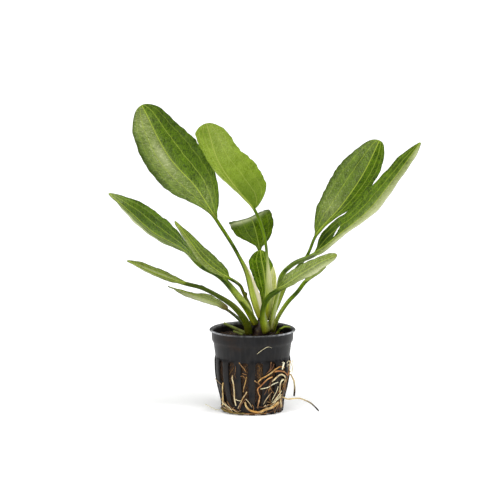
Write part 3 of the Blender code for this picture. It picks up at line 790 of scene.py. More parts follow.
        on_stalk = share <= 0
        thick = np.where(on_stalk, ease(steps, [0.0, self.sheath_to], [self.thickness, self.stalk]),
                         ease(share, [0.0, 0.3, 1.0], [self.stalk, 0.55, self.MARGIN_THICKNESS]))
        clasp = ease(steps, [0.0, self.sheath_to], [self.clasp, 0.0])
        fold = ease(share, [0.0, 0.2, 0.8, 1.0], [0.0, self.fold, self.fold, self.fold * 0.6])
        tilt = np.radians(np.where(on_stalk, clasp, fold))
        flat = ease(share, [0.0, 0.14], [0.0, 1.0])
        # The blade swells softly between its veins, and waves more towards its margins
        swell = self.SWELL * far * np.cos(2 * np.pi * off / self.SWELLS_APART) * off
        turn = 2 * np.pi * (self.waves * share + self.phase) + np.where(across > 0, 1.9, 0.0)
        ripple = self.wave * off**2 * (np.sin(turn) + 0.45 * np.sin(2.7 * turn + 1.3))
        ripple *= ease(share, [0.0, 0.15, 0.9, 1.0], [0.0, 1.0, 1.0, 0.2])
        curl = np.where(on_stalk, self.CURL * np.maximum(far - core, 0.0) ** 2, 0.0)
        rise = (np.sqrt(out**2 + 0.5) - 0.707) * np.sin(tilt) + (swell + ripple) * flat + curl

        edge = np.sqrt(np.sqrt(np.maximum(1 - across**2, 0.0)))
        body = thick * np.sqrt(np.maximum(1 - (out / core) ** 2, 0.0)) * (1 - flat)
        ridge = thick * np.exp(-((out / (0.5 + thick)) ** 2)) * flat
        top = self.SKIN * edge + body * ease(steps, [0.0, self.sheath_to], [0.25, 1.0]) + self.UPPER_RIDGE * ridge
        bottom = self.SKIN * edge + body + self.LOWER_RIDGE * ridge
        for at in self.finish.veins_at:
            vein = np.exp(-(((off - at) * half / self.VEIN_WIDTH) ** 2))
            vein = self.VEIN_HEIGHT * vein * flat * (1 - share.clip(0, 1))
            top, bottom = top - vein, bottom + vein
        middle = route.points(steps) + side * (out * np.cos(tilt))[..., None]
        return (middle + up * (rise + top)[..., None], middle + up * (rise - bottom)[..., None],
                self._layers(share, across, steps, half, core))

    def _layers(self, share: np.ndarray, across: np.ndarray, steps: np.ndarray, half: np.ndarray,
                core: np.ndarray) -> dict[str, np.ndarray]:
        """The numbers that the leaf's material reads.

        Args:
            share: Places along the midrib, as shares of the blade's length.
            across: Places across it, as shares of the half width.
            steps: Distances along the midrib.
            half: Half widths.
            core: Half widths of the stalk alone.

        Returns:
            The layers by name.
        """
        far = np.abs(across) * half
        # The painted sheen on each half, fainter towards the foot of the blade
        film = np.where(across > 0, self.film[1], self.film[0]) * ease(share, [0.0, 0.2], [0.3, 1.0])
        layers = {Mark.PAINTED_SHEEN.value: film, **{mark.value: np.zeros_like(share) for mark in Mark if mark != Mark.PAINTED_SHEEN}}
        for patch in self.patches:
            away = ((share - patch.share) / patch.length) ** 2 + ((across - patch.across) / patch.width) ** 2
            layers[patch.mark.value] = layers[patch.mark.value] + patch.strength * np.exp(-away)
        layers = {name: np.clip(grid, 0.0, 1.0) for name, grid in layers.items()}
        wing = np.where(share <= 0, np.clip((half - core) / self.WING_WIDTH, 0, 1), 0.0)
        dry = np.where(across > 0, self.membrane[1], self.membrane[0])
        layers["cream"] = dry * wing * np.clip((far / core - 0.45) / 0.5, 0, 1)
        layers["off"], layers["out"], layers["half"] = np.abs(across), far, half
        layers["reach"] = np.clip((steps - steps.min()) / (steps[share <= 0].max() - steps.min()), 0.0, 1.0)
        layers["blade"] = ease(share, [-0.02, 0.06], [0.0, 1.0])
        layers["ladder"] = steps - self.LADDER_LEAN * far
        return layers

    def _closed(self, upper: np.ndarray, lower: np.ndarray, share: np.ndarray, across: np.ndarray,
                route: Route) -> tuple[np.ndarray, list, np.ndarray]:
        """Join the two skins at the margins, foot, tip and tear.

        Args:
            upper: Points of the upper skin, by station and place across.
            lower: Points of the lower skin.
            share: Share of the blade's length of each.
            across: Share of its half width.
            route: The midrib.

        Returns:
            The points, the faces and, for each point, 1 on the upper skin and 0 on the lower.
        """
        count, wide = upper.shape[:2]
        ring = 2 * wide - 2
        rings = np.concatenate([upper, lower[:, -2:0:-1]], axis=1)
        points = np.concatenate([rings.reshape(-1, 3), route.points(np.array([route.length]))])
        side = np.concatenate([np.full(wide, 1.0), np.zeros(wide - 2)])
        side[[0, wide - 1]] = 0.5
        side = np.append(np.tile(side, count), 0.5)

        def under(k: int) -> int:
            """The place in the ring of the lower point under this upper one."""
            return k if k in (0, wide - 1) else ring - k

        gone = np.zeros((count - 1, wide - 1), bool)
        if self.tear:
            middles = [(grid[:-1, :-1] + grid[1:, 1:] + grid[:-1, 1:] + grid[1:, :-1]) / 4 for grid in (share, across)]
            gone = self.tear.away(*middles) < self.TORN_WITHIN
        faces = [tuple(range(ring))]
        for i in range(count - 1):
            a, b = i * ring, (i + 1) * ring
            for k in range(wide - 1):
                if gone[i, k]:
                    continue
                faces.append((b + k, b + k + 1, a + k + 1, a + k))
                faces.append((a + under(k), a + under(k + 1), b + under(k + 1), b + under(k)))
        for i, k in zip(*np.nonzero(gone)):
            a, b = i * ring, (i + 1) * ring
            edges = [(gone[i, k - 1], (a + k, b + k), (a + under(k), b + under(k))),
                     (gone[i, k + 1], (b + k + 1, a + k + 1), (b + under(k + 1), a + under(k + 1))),
                     (gone[i - 1, k], (a + k + 1, a + k), (a + under(k + 1), a + under(k))),
                     (gone[i + 1, k], (b + k, b + k + 1), (b + under(k), b + under(k + 1)))]
            faces += [(high[1], high[0], low[0], low[1]) for open_too, high, low in edges if not open_too]
        last = (count - 1) * ring
        faces += [(len(points) - 1, last + (k + 1) % ring, last + k) for k in range(ring)]
        return points, faces, side


# SUNLIT and SHADED are lit and shaded copies of the leaf tissue: the light through the backlit leaf and the shade on
# leaves behind others are painted into their colours
SUNLIT = LivingLeaf("sunlit_leaf", deep="#4c6c04", green="#779410", lower="#a9c440", vein="#c8d664", film="#b9c478",
                    pale="#f8f8c0", margin="#6c8408", glow="#b4c810", glow_share=0.25)
PALE = LivingLeaf("unrolling_leaf", deep="#d8e06c", green="#f0f49c", lower="#f4f8a8", vein="#fbfccc",
                  margin="#eef488", stalk="#fcffb4", sheath="#ffffc4", inner_sheath="#ffffd8", foot="#c4c858",
                  glow="#ffffc0", glow_share=0.25, gloss=0.12)
SHADED = LivingLeaf("shaded_leaf", deep="#283c00", green="#567004", lower="#627a0a", vein="#86983c", film="#8f9c60",
                    margin="#1e2c02", gloss=0.10, glow_share=0.10)
OLIVE = LivingLeaf("olive_leaf", deep="#344404", green="#6c800e", lower="#808e22", film="#b8bd80", stalk="#4e5e08",
                   sheath="#6e7c14", inner_sheath="#a0a43c", foot="#625c14")

LEAVES = [
    Leaf("leaf_tall_left",
         [(5.0, 0.6, 58.5), (0.4, 2.4, 73.0), (-3.6, 4.8, 86.5), (-10.4, 8.8, 100.0), (-23.0, 14.0, 119.5),
          (-35.5, 18.0, 139.0), (-51.0, 23.0, 155.5), (-70.0, 30.0, 190.0)], 4,
         [(.05, 1.8), (.12, 4.8), (.23, 11.0), (.38, 15.9), (.50, 16.8), (.61, 17.2), (.76, 15.7), (.86, 13.3),
          (.92, 10.2), (.97, 6.4)],
         [(.04, 3.3), (.10, 7.8), (.18, 11.6), (.28, 15.7), (.39, 18.6), (.49, 19.9), (.58, 20.0), (.68, 18.3),
          (.80, 14.3), (.92, 10.1), (.98, 4.8)],
         {0: (0.6, -0.75, 0.3), 3: (0.5, -0.8, 0.35), 5: (0.25, -0.92, 0.30)},
         foot=1.7, sheath=2.1, sheath_at=14.0, sheath_to=42.0, fold=9.0, wave=0.7, waves=2.0, film=(0.22, 0.04),
         thickness=1.5,
         wings=([(0, 1.4), (6, 3.2), (12, 2.2), (19, 1.0), (34, 0.0)],
                [(0, 0.4), (6, 1.3), (14, 2.2), (22, 1.7), (30, 1.1), (38, 0.5), (46, 0.0)]),
         membrane=(0.0, 1.0),
         patches=[Patch(Mark.PAINTED_SHEEN, .62, -.30, .22, .30, .40), Patch(Mark.PAINTED_SHEEN, .88, -.5, .08, .6, .30),
                  Patch(Mark.PALE, .60, -.22, .10, .12, .35), Patch(Mark.BROWN, .03, 0.0, .02, .4, .4),
                  Patch(Mark.DARK, .60, -.95, .35, .14, .7), Patch(Mark.PAINTED_SHEEN, .16, .30, .12, .4, .25),
                  Patch(Mark.DARK, .86, .75, .12, .3, .4), Patch(Mark.DARK, .50, .80, .30, .25, .4),
                  Patch(Mark.DARK, -.50, -1.0, .30, .30, .8)]),
    Leaf("leaf_tall_middle",
         [(8.5, -0.6, 57.5), (10.0, -1.0, 76.0), (9.5, -3.0, 92.5), (7.0, -7.0, 113.5), (1.0, -11.0, 129.5),
          (-9.5, -17.0, 143.0), (-21.0, -24.0, 161.0), (-28.5, -35.0, 186.5)], 4,
         [(.02, 4.9), (.05, 9.2), (.10, 14.3), (.15, 16.8), (.22, 17.9), (.36, 18.6), (.49, 17.4), (.61, 15.2),
          (.71, 13.7), (.81, 12.0), (.88, 10.2), (.93, 7.7), (.98, 3.9)],
         [(.11, 1.1), (.21, 1.8), (.38, 3.7), (.52, 5.4), (.70, 7.0), (.85, 8.6), (.91, 8.6), (.96, 6.4)],
         {0: (0.3, 0.9, 0.1), 4: (-0.1, 0.9, 0.4)},
         foot=1.6, sheath=1.8, sheath_to=40.0, stalk=0.95, fold=8.0, wave=0.6, phase=0.3, film=(0.02, 0.06),
         wings=([(0, 0.0), (12, 1.2), (24, 0.9), (38, 0.0)], [(0, 0.0), (12, 0.8), (24, 0.5), (38, 0.0)]),
         membrane=(0.2, 0.2),
         patches=[Patch(Mark.PALE, .32, 1.0, .15, .14, 1.0), Patch(Mark.DARK, .04, 0.0, .14, 1.2, .35),
                  Patch(Mark.PALE, -.66, -.7, .16, 1.2, 1.0), Patch(Mark.DARK, .93, .3, .10, .5, .3),
                  Patch(Mark.DARK, .20, -.2, .18, .9, .45), Patch(Mark.PAINTED_SHEEN, .80, -.4, .25, .5, .25),
                  Patch(Mark.PALE, .12, .8, .10, .4, .3)],
         finish=SUNLIT, slot="young_leaf_green"),
    Leaf("leaf_arched_back",
         [(4.5, 6.6, 53.5), (6.0, 12.8, 75.5), (5.5, 16.6, 88.0), (4.5, 20.0, 98.6), (2.5, 24.0, 108.7),
          (-0.5, 31.0, 116.8), (-4.0, 42.0, 115.2), (-7.0, 50.0, 106.0)], 3,
         [(.06, 1.9), (.14, 6.2), (.19, 9.0), (.30, 12.9), (.45, 14.4), (.60, 13.8), (.75, 11.2), (.88, 7.6)],
         [(.04, 1.8), (.10, 5.6), (.20, 9.8), (.36, 13.0), (.50, 12.8), (.65, 11.3), (.80, 8.6), (.92, 5.2)],
         {0: (0.0, -1.0, 0.2), 3: (0.0, -0.9, 0.4), 5: (-0.35, -0.1, 0.95), 7: (-0.2, 0.8, 0.6)},
         foot=1.5, sheath=1.7, stalk=0.95, thickness=0.8, fold=6.0, film=(0.0, 0.0),
         patches=[Patch(Mark.PALE, .50, -.55, .05, .55, .55), Patch(Mark.PALE, .50, .35, .04, .5, .35)],
         finish=SHADED),
    Leaf("leaf_young_upright",
         [(8.2, 5.2, 55.0), (7.7, 5.8, 66.0), (8.0, 7.8, 78.5), (7.0, 10.4, 87.5), (5.5, 12.6, 95.0),
          (5.0, 13.6, 100.0)], 1,
         [(.10, 2.0), (.21, 3.4), (.42, 6.9), (.60, 8.2), (.70, 8.9), (.80, 8.9), (.88, 7.2), (.95, 4.6)],
         [(.20, 3.2), (.40, 5.3), (.55, 6.4), (.67, 6.5), (.82, 5.2), (.94, 3.4)],
         {0: (0.1, -1.0, 0.1), 2: (0.1, -0.95, 0.25)},
         foot=1.4, sheath=1.6, sheath_at=5.0, sheath_to=14.0, stalk=1.3, thickness=0.8, wave=0.2,
         film=(0.0, 0.0), patches=[Patch(Mark.PAINTED_SHEEN, .5, 0.0, .5, .10, .25)], stations=70),
    Leaf("leaf_long_left",
         [(2.6, -4.2, 56.0), (-2.5, -5.6, 65.3), (-7.9, -5.8, 72.3), (-21.2, -3.0, 86.2), (-31.5, -1.0, 91.5),
          (-43.0, 1.5, 101.5), (-64.0, 5.0, 113.5), (-76.5, 7.5, 124.5), (-90.5, 10.0, 136.5)], 4,
         [(.10, 2.6), (.20, 5.8), (.31, 9.6), (.42, 10.8), (.54, 10.2), (.66, 9.1), (.78, 7.2), (.91, 3.5),
          (.97, 1.6)],
         [(.10, 3.5), (.20, 6.2), (.30, 8.9), (.37, 10.9), (.49, 13.6), (.58, 13.9), (.65, 13.2), (.71, 11.8),
          (.82, 8.5), (.93, 5.0), (.975, 2.6)],
         {0: (0.6, 0.2, 0.7), 2: (0.55, -0.4, 0.62), 4: (0.5, -0.3, 0.75), 6: (0.52, -0.50, 0.70)},
         foot=2.6, sheath=3.0, sheath_at=10.0, sheath_to=46.0, stalk=1.5, thickness=2.9, fold=22.0,
         wings=([(17, 0.0), (20, 2.4), (24, 3.0), (27, 1.0), (29, 0.0)], ()), film=(0.06, 0.02),
         patches=[Patch(Mark.PALE, .66, -.95, .26, .28, .9), Patch(Mark.PAINTED_SHEEN, .95, 0.0, .10, 1.0, .3),
                  Patch(Mark.DARK, .45, .55, .25, .3, .35), Patch(Mark.DARK, .4, -.5, .2, .3, .45),
                  Patch(Mark.PALE, .45, -.28, .4, .06, .45), Patch(Mark.DARK, .72, .3, .1, .3, .35),
                  Patch(Mark.PALE, -.40, 0.3, .22, .35, .25), Patch(Mark.PAINTED_SHEEN, .40, -.4, .3, .5, .18),
                  Patch(Mark.DARK, -.40, -1.0, .30, .35, .7)]),
    Leaf("leaf_middle_left",
         [(1.5, 3.0, 56.0), (-2.0, 3.6, 67.0), (-4.6, 2.8, 72.0), (-6.0, 1.8, 75.5), (-7.3, 0.9, 78.6),
          (-10.8, -1.0, 82.0), (-14.5, -2.5, 84.3), (-30.5, -8.0, 97.0), (-41.0, -9.5, 111.5),
          (-48.5, -11.0, 122.0)], 6,
         [(.15, 2.8), (.30, 4.6), (.46, 4.9), (.60, 3.9), (.82, 2.9), (.95, 1.9)],
         [(.015, 1.8), (.04, 3.6), (.08, 4.9), (.19, 6.1), (.37, 6.6), (.57, 5.3), (.77, 3.1), (.90, 1.6)],
         {0: (0.7, -0.4, 0.5), 6: (0.40, -0.80, 0.45), 9: (0.45, -0.8, 0.4)},
         foot=1.0, sheath=1.1, sheath_at=6.0, stalk=1.0, thickness=0.8, fold=20.0, wave=0.3,
         wings=([(16, 0.0), (17.5, 0.8), (20, 0.0)], [(16, 0.0), (18, 1.5), (20.5, 0.0)]), film=(0.30, 0.16),
         patches=[Patch(Mark.PALE, -.10, 0.5, .04, .8, .5), Patch(Mark.BROWN, -.125, 0.9, .025, .5, .9),
                  Patch(Mark.BROWN, -.30, 0.0, .15, 2.0, .55), Patch(Mark.PAINTED_SHEEN, .70, -.8, .3, .4, .4)]),
    Leaf("leaf_low_left",
         [(-1.8, -3.4, 49.5), (-3.0, -4.6, 55.6), (-6.2, -6.6, 61.7), (-11.4, -8.6, 67.5), (-22.2, -10.5, 74.8),
          (-32.5, -11.5, 80.0), (-41.5, -12.5, 82.5), (-59.0, -13.5, 88.5), (-78.5, -15.0, 97.5)], 6,
         [(.10, 2.6), (.24, 4.7), (.48, 4.9), (.68, 3.4), (.93, 1.5)],
         [(.03, 2.2), (.26, 4.1), (.49, 5.0), (.72, 4.4), (.88, 2.8)],
         {0: (0.8, 0.3, 0.4), 3: (0.5, 0.0, 0.8), 6: (0.33, -0.45, 0.84)},
         foot=2.6, sheath=3.4, sheath_at=8.0, sheath_to=40.0, stalk=1.2, thickness=2.9, fold=16.0, wave=0.2,
         wings=((), [(41, 0.0), (43, 1.4), (46, 1.6), (48, 0.0)]), film=(0.16, 0.10),
         patches=[Patch(Mark.PALE, .75, -.9, .22, .3, .7), Patch(Mark.PALE, .5, .2, .4, .12, .4)], finish=OLIVE),
    Leaf("leaf_lowest_left",
         [(-2.0, 4.0, 50.0), (-8.5, 6.0, 57.0), (-16.0, 9.0, 62.5), (-27.0, 12.0, 67.5), (-36.0, 13.5, 70.5),
          (-53.5, 16.0, 76.5)], 2,
         [(.01, 1.3), (.07, 2.2), (.27, 3.8), (.50, 5.6), (.74, 4.4), (.90, 1.6)],
         [(.015, 2.4), (.04, 3.4), (.14, 4.2), (.35, 4.9), (.57, 2.6), (.79, .9)],
         {0: (0.7, -0.4, 0.5), 2: (0.3, -0.5, 0.82)},
         foot=1.4, sheath=1.5, sheath_at=6.0, sheath_to=18.0, stalk=0.8, thickness=0.8, fold=14.0, wave=0.25,
         film=(0.55, 0.25),
         patches=[Patch(Mark.PALE, .45, -.6, .32, .6, .95), Patch(Mark.BROWN, .04, .2, .10, 1.4, .9),
                  Patch(Mark.DARK, -.25, 0.0, .25, 3.0, .9)], finish=OLIVE, stations=80),
    Leaf("leaf_tall_right",
         [(10.5, 5.2, 53.0), (13.4, 5.6, 61.0), (18.6, 7.5, 73.0), (26.9, 11.0, 87.5), (34.0, 14.0, 95.5),
          (39.8, 18.0, 108.0), (56.5, 24.0, 127.0), (70.5, 29.0, 147.0), (80.5, 34.0, 167.0)], 5,
         [(.03, 2.2), (.07, 4.9), (.12, 7.9), (.20, 11.4), (.31, 13.7), (.47, 16.1), (.56, 16.5), (.71, 15.2),
          (.83, 12.2), (.93, 8.3), (.98, 4.6)],
         [(.13, 2.0), (.19, 2.8), (.28, 4.2), (.37, 6.8), (.46, 8.6), (.56, 9.9), (.66, 10.6), (.75, 10.5),
          (.85, 9.2), (.94, 6.2), (.99, 2.7)],
         {0: (-0.7, -0.6, 0.3), 4: (-0.4, -0.8, 0.4), 6: (-0.35, -0.88, 0.33)},
         foot=1.7, sheath=2.3, sheath_to=30.0, stalk=0.9, fold=14.0, wave=0.5, phase=0.6, film=(0.17, 0.02),
         patches=[Patch(Mark.PAINTED_SHEEN, .28, -.3, .12, .5, .30), Patch(Mark.DARK, .55, .5, .5, .6, .25),
                  Patch(Mark.DARK, -.3, 0.0, .3, 2.0, .6), Patch(Mark.DARK, .74, -.42, .09, .05, .9),
                  Patch(Mark.DARK, .50, -1.0, .5, .12, .5)]),
    Leaf("leaf_long_right",
         [(11.5, -3.6, 51.5), (13.4, -4.0, 62.0), (15.9, -4.6, 75.0), (18.2, -5.2, 86.5), (25.2, -7.0, 93.9),
          (38.5, -7.0, 100.0), (52.0, -7.0, 111.0), (72.5, -6.0, 128.0), (87.0, -5.0, 146.0),
          (105.0, -4.0, 170.5)], 5,
         [(.04, 5.4), (.08, 9.0), (.14, 10.1), (.24, 10.9), (.32, 10.3), (.39, 10.2), (.45, 11.0), (.54, 11.3),
          (.64, 9.8), (.74, 8.4), (.83, 7.1), (.93, 4.4), (.975, 2.2)],
         [(.05, 4.0), (.20, 5.0), (.29, 6.1), (.39, 7.8), (.53, 9.7), (.65, 9.6), (.78, 8.1), (.88, 6.0),
          (.95, 3.5)],
         {0: (-0.8, 0.5, 0.2), 3: (-0.7, 0.1, 0.5), 6: (-0.63, -0.55, 0.55)},
         foot=2.0, sheath=2.9, sheath_to=34.0, stalk=1.3, fold=16.0, wave=0.4, phase=0.15, film=(0.04, 0.50),
         wings=([(0, 0.3), (8, 1.1), (20, 0.8), (30, 0.0)], ()), membrane=(0.8, 0.0),
         patches=[Patch(Mark.PALE, .48, .95, .36, .55, .85), Patch(Mark.PALE, .20, .7, .12, .3, .5),
                  Patch(Mark.PALE, -.45, 0.4, .16, .35, .7),
                  Patch(Mark.DARK, .12, -.6, .12, .6, 1.0), Patch(Mark.DARK, .88, -.4, .14, .6, .4),
                  Patch(Mark.PAINTED_SHEEN, .45, .3, .25, .4, .35), Patch(Mark.PALE, .93, .7, .05, .5, .5)],
         tear=Tear(.205, -.30, .042, .06, -4.1), stations=200, columns=81),
    Leaf("leaf_front_right",
         [(8.0, -7.0, 50.5), (6.5, -8.6, 59.0), (6.8, -10.5, 67.0), (10.3, -13.0, 74.3), (16.0, -15.0, 78.8),
          (32.0, -21.0, 91.0), (42.0, -26.0, 98.0), (52.5, -30.0, 103.5)], 4,
         [(.015, 3.0), (.04, 4.8), (.09, 6.0), (.14, 6.6), (.22, 6.9), (.33, 6.6), (.43, 6.1), (.54, 5.5),
          (.65, 4.9), (.77, 4.2), (.94, 2.6)],
         [(.10, 2.8), (.20, 4.4), (.30, 5.4), (.39, 5.8), (.53, 6.9), (.67, 8.0), (.79, 6.9), (.91, 4.5)],
         {0: (0.0, 1.0, 0.2), 3: (-0.35, -0.1, 0.9), 4: (-0.4, -0.55, 0.72), 5: (-0.4, -0.65, 0.65)},
         foot=2.1, sheath=2.2, sheath_at=6.0, sheath_to=18.0, stalk=1.5, thickness=1.5, fold=12.0, wave=0.3,
         wings=([(0, 1.6), (7, 1.0), (14, 0.0)], ()), film=(0.42, 0.40),
         patches=[Patch(Mark.PALE, .70, .9, .30, .5, .95), Patch(Mark.PALE, .55, 0.0, .5, .08, .5),
                  Patch(Mark.BROWN, 1.0, 0.0, .035, 1.5, .35), Patch(Mark.DARK, .05, 0.0, .12, 1.2, .5),
                  Patch(Mark.DARK, -.40, .7, .35, .7, .7), Patch(Mark.PALE, -.48, -.9, .20, .45, .45)]),
    Leaf("leaf_hidden_right",
         [(12.6, 1.2, 49.5), (15.5, 3.0, 57.5), (21.4, 7.0, 66.6), (29.0, 12.0, 74.2), (33.1, 15.0, 79.2),
          (40.0, 19.0, 84.0), (46.5, 24.0, 88.0)], 4,
         [(.20, 2.4), (.45, 3.2), (.70, 2.8), (.90, 1.5)], [(.20, 2.4), (.45, 3.2), (.70, 2.8), (.90, 1.5)],
         {0: (-0.8, -0.3, 0.5), 4: (-0.3, -0.4, 0.85)},
         foot=1.9, sheath=2.1, sheath_at=5.0, sheath_to=26.0, stalk=1.2, thickness=1.1, fold=12.0, wave=0.1,
         film=(0.2, 0.5), stations=40),
    Leaf("leaf_bud_sheath",
         [(11.0, 1.6, 57.0), (11.5, 1.6, 67.0), (12.0, 2.2, 79.0), (13.0, 3.0, 91.0)], 1,
         [(.20, 2.6), (.45, 3.0), (.70, 2.4), (.90, 1.1)], [(.20, 2.8), (.45, 3.5), (.70, 3.0), (.90, 1.4)],
         {0: (-0.1, -0.95, 0.3)},
         foot=1.1, sheath=2.0, sheath_at=4.0, sheath_to=10.0, stalk=1.9, thickness=0.8, fold=20.0, wave=0.0,
         film=(0.0, 0.0), finish=PALE, slot="pale_sheath", stations=60),
    Leaf("old_strap_right",
         [(15.2, -1.6, 48.8), (17.4, -1.2, 51.8), (20.5, 0.0, 53.2), (24.0, 1.2, 52.6)], 1,
         [(.20, 1.0), (.50, 1.3), (.85, 0.8)], [(.20, 1.0), (.50, 1.3), (.85, 0.8)], {0: (-0.4, -0.4, 0.8)},
         foot=0.9, sheath=1.1, sheath_at=2.0, sheath_to=4.0, stalk=0.7, thickness=0.5, fold=8.0, wave=0.1,
         film=(0.1, 0.1), finish=OLIVE, slot="old_stalk", stations=30),
]


@dataclass
class NetPot:
    """The net pot: a moulded shell with a lip, a stepped wall and slots between ribs.

    The walls are given from the lip down as (radius, height). Places round the pot are in degrees to
    the right of the front.
    """

    ribs: int = 16
    first_rib: float = -1.0
    slot_angle: float = 11.5
    slot_from: float = 6.0
    slot_to: float = 34.0
    slot_round: float = 1.8
    foot_slot_radius: float = 9.0
    foot_slot_height: float = 1.4
    floor: float = 1.3
    rib_columns: int = 10
    slot_columns: int = 6
    crown_of_rib: float = 0.30
    slot_dip: float = 0.12
    bent_lip: float = 0.9
    lip_from: float = 50.6
    mud_inside: float = 0.3
    outside: Rows = (
        (26.5, 51.70), (27.1, 51.65), (27.4, 51.40), (27.35, 51.05), (26.8, 50.80), (26.25, 50.5), (26.05, 49.6),
        (26.0, 48.2), (25.95, 46.9), (25.85, 45.7), (25.7, 44.8), (25.3, 44.2), (24.9, 43.4), (24.7, 42.6),
        (24.5, 41.0), (24.25, 39.0), (24.0, 37.2), (23.8, 35.7), (23.75, 35.1), (23.85, 34.5), (24.0, 34.0),
        (24.0, 33.0), (24.0, 32.0), (23.95, 30.0), (23.9, 27.0), (23.7, 24.2), (23.3, 21.3), (22.8, 18.5),
        (22.2, 15.3), (21.4, 12.2), (20.7, 9.4), (20.25, 7.4), (20.1, 6.5), (20.0, 6.0), (19.9, 4.0), (19.8, 2.2),
        (19.7, 1.4), (19.65, 0.5), (19.3, 0.0), (17.5, 0.0), (15.0, 0.0), (12.0, 0.0), (9.0, 0.0), (6.0, 0.0),
        (3.0, 0.0),
    )
    inside: Rows = (
        (26.5, 51.70), (25.8, 51.6), (25.2, 51.3), (25.05, 51.0), (25.0, 50.8), (24.98, 50.5), (24.95, 49.6),
        (24.8, 48.2), (24.7, 46.9), (24.55, 45.7), (24.4, 44.8), (24.0, 44.2), (23.6, 43.4), (23.5, 42.6),
        (23.3, 41.0), (23.05, 39.0), (22.8, 37.2), (22.6, 35.7), (22.6, 35.1), (22.7, 34.5), (22.85, 34.0),
        (22.85, 33.0), (22.85, 32.0), (22.8, 30.0), (22.75, 27.0), (22.6, 24.2), (22.2, 21.3), (21.7, 18.5),
        (21.1, 15.3), (20.3, 12.2), (19.6, 9.4), (19.15, 7.4), (19.0, 6.5), (18.9, 6.0), (18.8, 4.0), (18.7, 2.2),
        (18.6, 1.6), (18.5, 1.35), (18.3, 1.3), (16.5, 1.3), (14.0, 1.3), (11.5, 1.3), (9.0, 1.3), (6.0, 1.3),
        (3.0, 1.3),
    )
    # Painted highlights along the lip: the middle, the length and how much
    painted_lip_highlights: Rows = ((-62.0, 20.0, 0.9), (58.0, 20.0, 1.0), (0.0, 60.0, 0.15), (120.0, 30.0, 0.4),
                         (-140.0, 40.0, 0.4))
    # Smears of mud: the middle, its height, the length, how tall and how much
    smears: Rows = ((-30.0, 43.8, 8.0, 2.2, 1.0), (-20.0, 42.4, 5.0, 1.2, 0.7), (-36.0, 48.6, 13.0, 1.6, 1.0),
                     (-44.0, 50.6, 9.0, 0.8, 0.8), (-58.0, 45.0, 7.0, 3.5, 0.4), (30.0, 47.0, 10.0, 1.5, 0.35))

    def _angles(self) -> np.ndarray:
        """Angle of each column in each row, in degrees, so that the slots have round ends."""
        pitch = 360 / self.ribs
        half_slot, half_rib = self.slot_angle / 2, (pitch - self.slot_angle) / 2
        slot = np.linspace(-1.0, 1.0, self.slot_columns + 1)
        rib = np.sin(np.linspace(-math.pi / 2, math.pi / 2, self.rib_columns + 1))[1:-1]
        rows = []
        for _, height in self.outside:
            end = min(height - self.slot_from, self.slot_to - height)
            full = 1.0
            if -0.01 <= end < self.slot_round:
                full = 0.45 + 0.55 * math.sqrt(1 - (1 - max(end, 0.0) / self.slot_round) ** 2)
            row = []
            for k in range(self.ribs):
                middle = self.first_rib + pitch * (k + 0.5)
                row += list(middle + slot * half_slot * full)
                row += list(middle + pitch / 2 + rib * (half_rib + half_slot * (1 - full)))
            rows.append(row)
        return np.radians(np.array(rows))

    def build(self) -> bpy.types.Object:
        """Build the pot and dress it.

        Returns:
            The pot.
        """
        angles = self._angles()
        count, wide = angles.shape
        block = wide // self.ribs
        place = np.arange(wide) % block
        in_rib = (place >= self.slot_columns) | (place == 0)
        across = np.where(place > self.slot_columns, (place - self.slot_columns) / self.rib_columns * 2 - 1,
                          np.where(place == 0, 1.0, -1.0))
        heights = np.array([z for _, z in self.outside])
        belly = ease(heights, [0.0, 4.0, 32.0, 36.0], [0.0, 1.0, 1.0, 0.0])[:, None]
        relief = np.where(in_rib, 1 - np.abs(across) ** 3, 0.0)[None] * belly * self.crown_of_rib
        dip = ease(heights, [30.0, 35.0, 42.0, 44.0], [0.0, 1.0, 0.0, 0.0])[:, None]
        relief = relief - self.slot_dip * dip * ~in_rib
        # The underside stays flat, and only the outside has relief
        relief = (relief - self.crown_of_rib) * (heights > 0.4)[:, None]
        skins = []
        for rows, raised in ((self.outside, relief), (self.inside, 0.0)):
            radii, levels = (np.array(column)[:, None] for column in zip(*rows))
            skins.append(around(radii + raised, angles, levels).reshape(-1, 3))
        points = np.concatenate([*skins, [[0.0, 0.0, 0.0], [0.0, 0.0, self.floor]]])
        # The soft lip is bent up a little at the back
        back = np.clip(points[:, 1] / 26, 0, 1)
        points[:, 2] += self.bent_lip * ease(points[:, 2], [44.0, 51.7], [0.0, 1.0]) * back
        faces = self._faces(self._gaps(place), count, wide)
        mud, painted_shine = np.zeros(len(points)), np.zeros(len(points))
        turn = degrees_round(points)
        # Painted highlights along the lip
        for middle, length, strength in self.painted_lip_highlights:
            painted_shine += strength * np.exp(-(((turn - middle) / length) ** 2)) * (points[:, 2] > self.lip_from)
        for middle, height, length, tall, strength in self.smears:
            away = ((turn - middle) / length) ** 2 + ((points[:, 2] - height) / tall) ** 2
            mud += strength * np.exp(-away)
        mud[count * wide:] = self.mud_inside
        return add_piece("net_pot_moulded", points, faces, MouldedPolypropylene().make(), "moulded_plastic",
                         ("net_pot",), {"mud": np.clip(mud, 0, 1), "painted_shine": np.clip(painted_shine, 0, 1)}, sharp=38.0)

    def _gaps(self, place: np.ndarray) -> np.ndarray:
        """Which cells of the wall and floor are slots.

        Args:
            place: Each column's place in its rib and slot.

        Returns:
            True where a cell is open.
        """
        middle = np.array([((a[0] + b[0]) / 2, (a[1] + b[1]) / 2) for a, b in zip(self.outside, self.outside[1:])])
        wall = (middle[:, 1] > self.slot_from) & (middle[:, 1] < self.slot_to)
        foot = (middle[:, 1] < self.foot_slot_height) & (middle[:, 0] > self.foot_slot_radius)
        return (wall | foot)[:, None] & (place < self.slot_columns)[None, :]

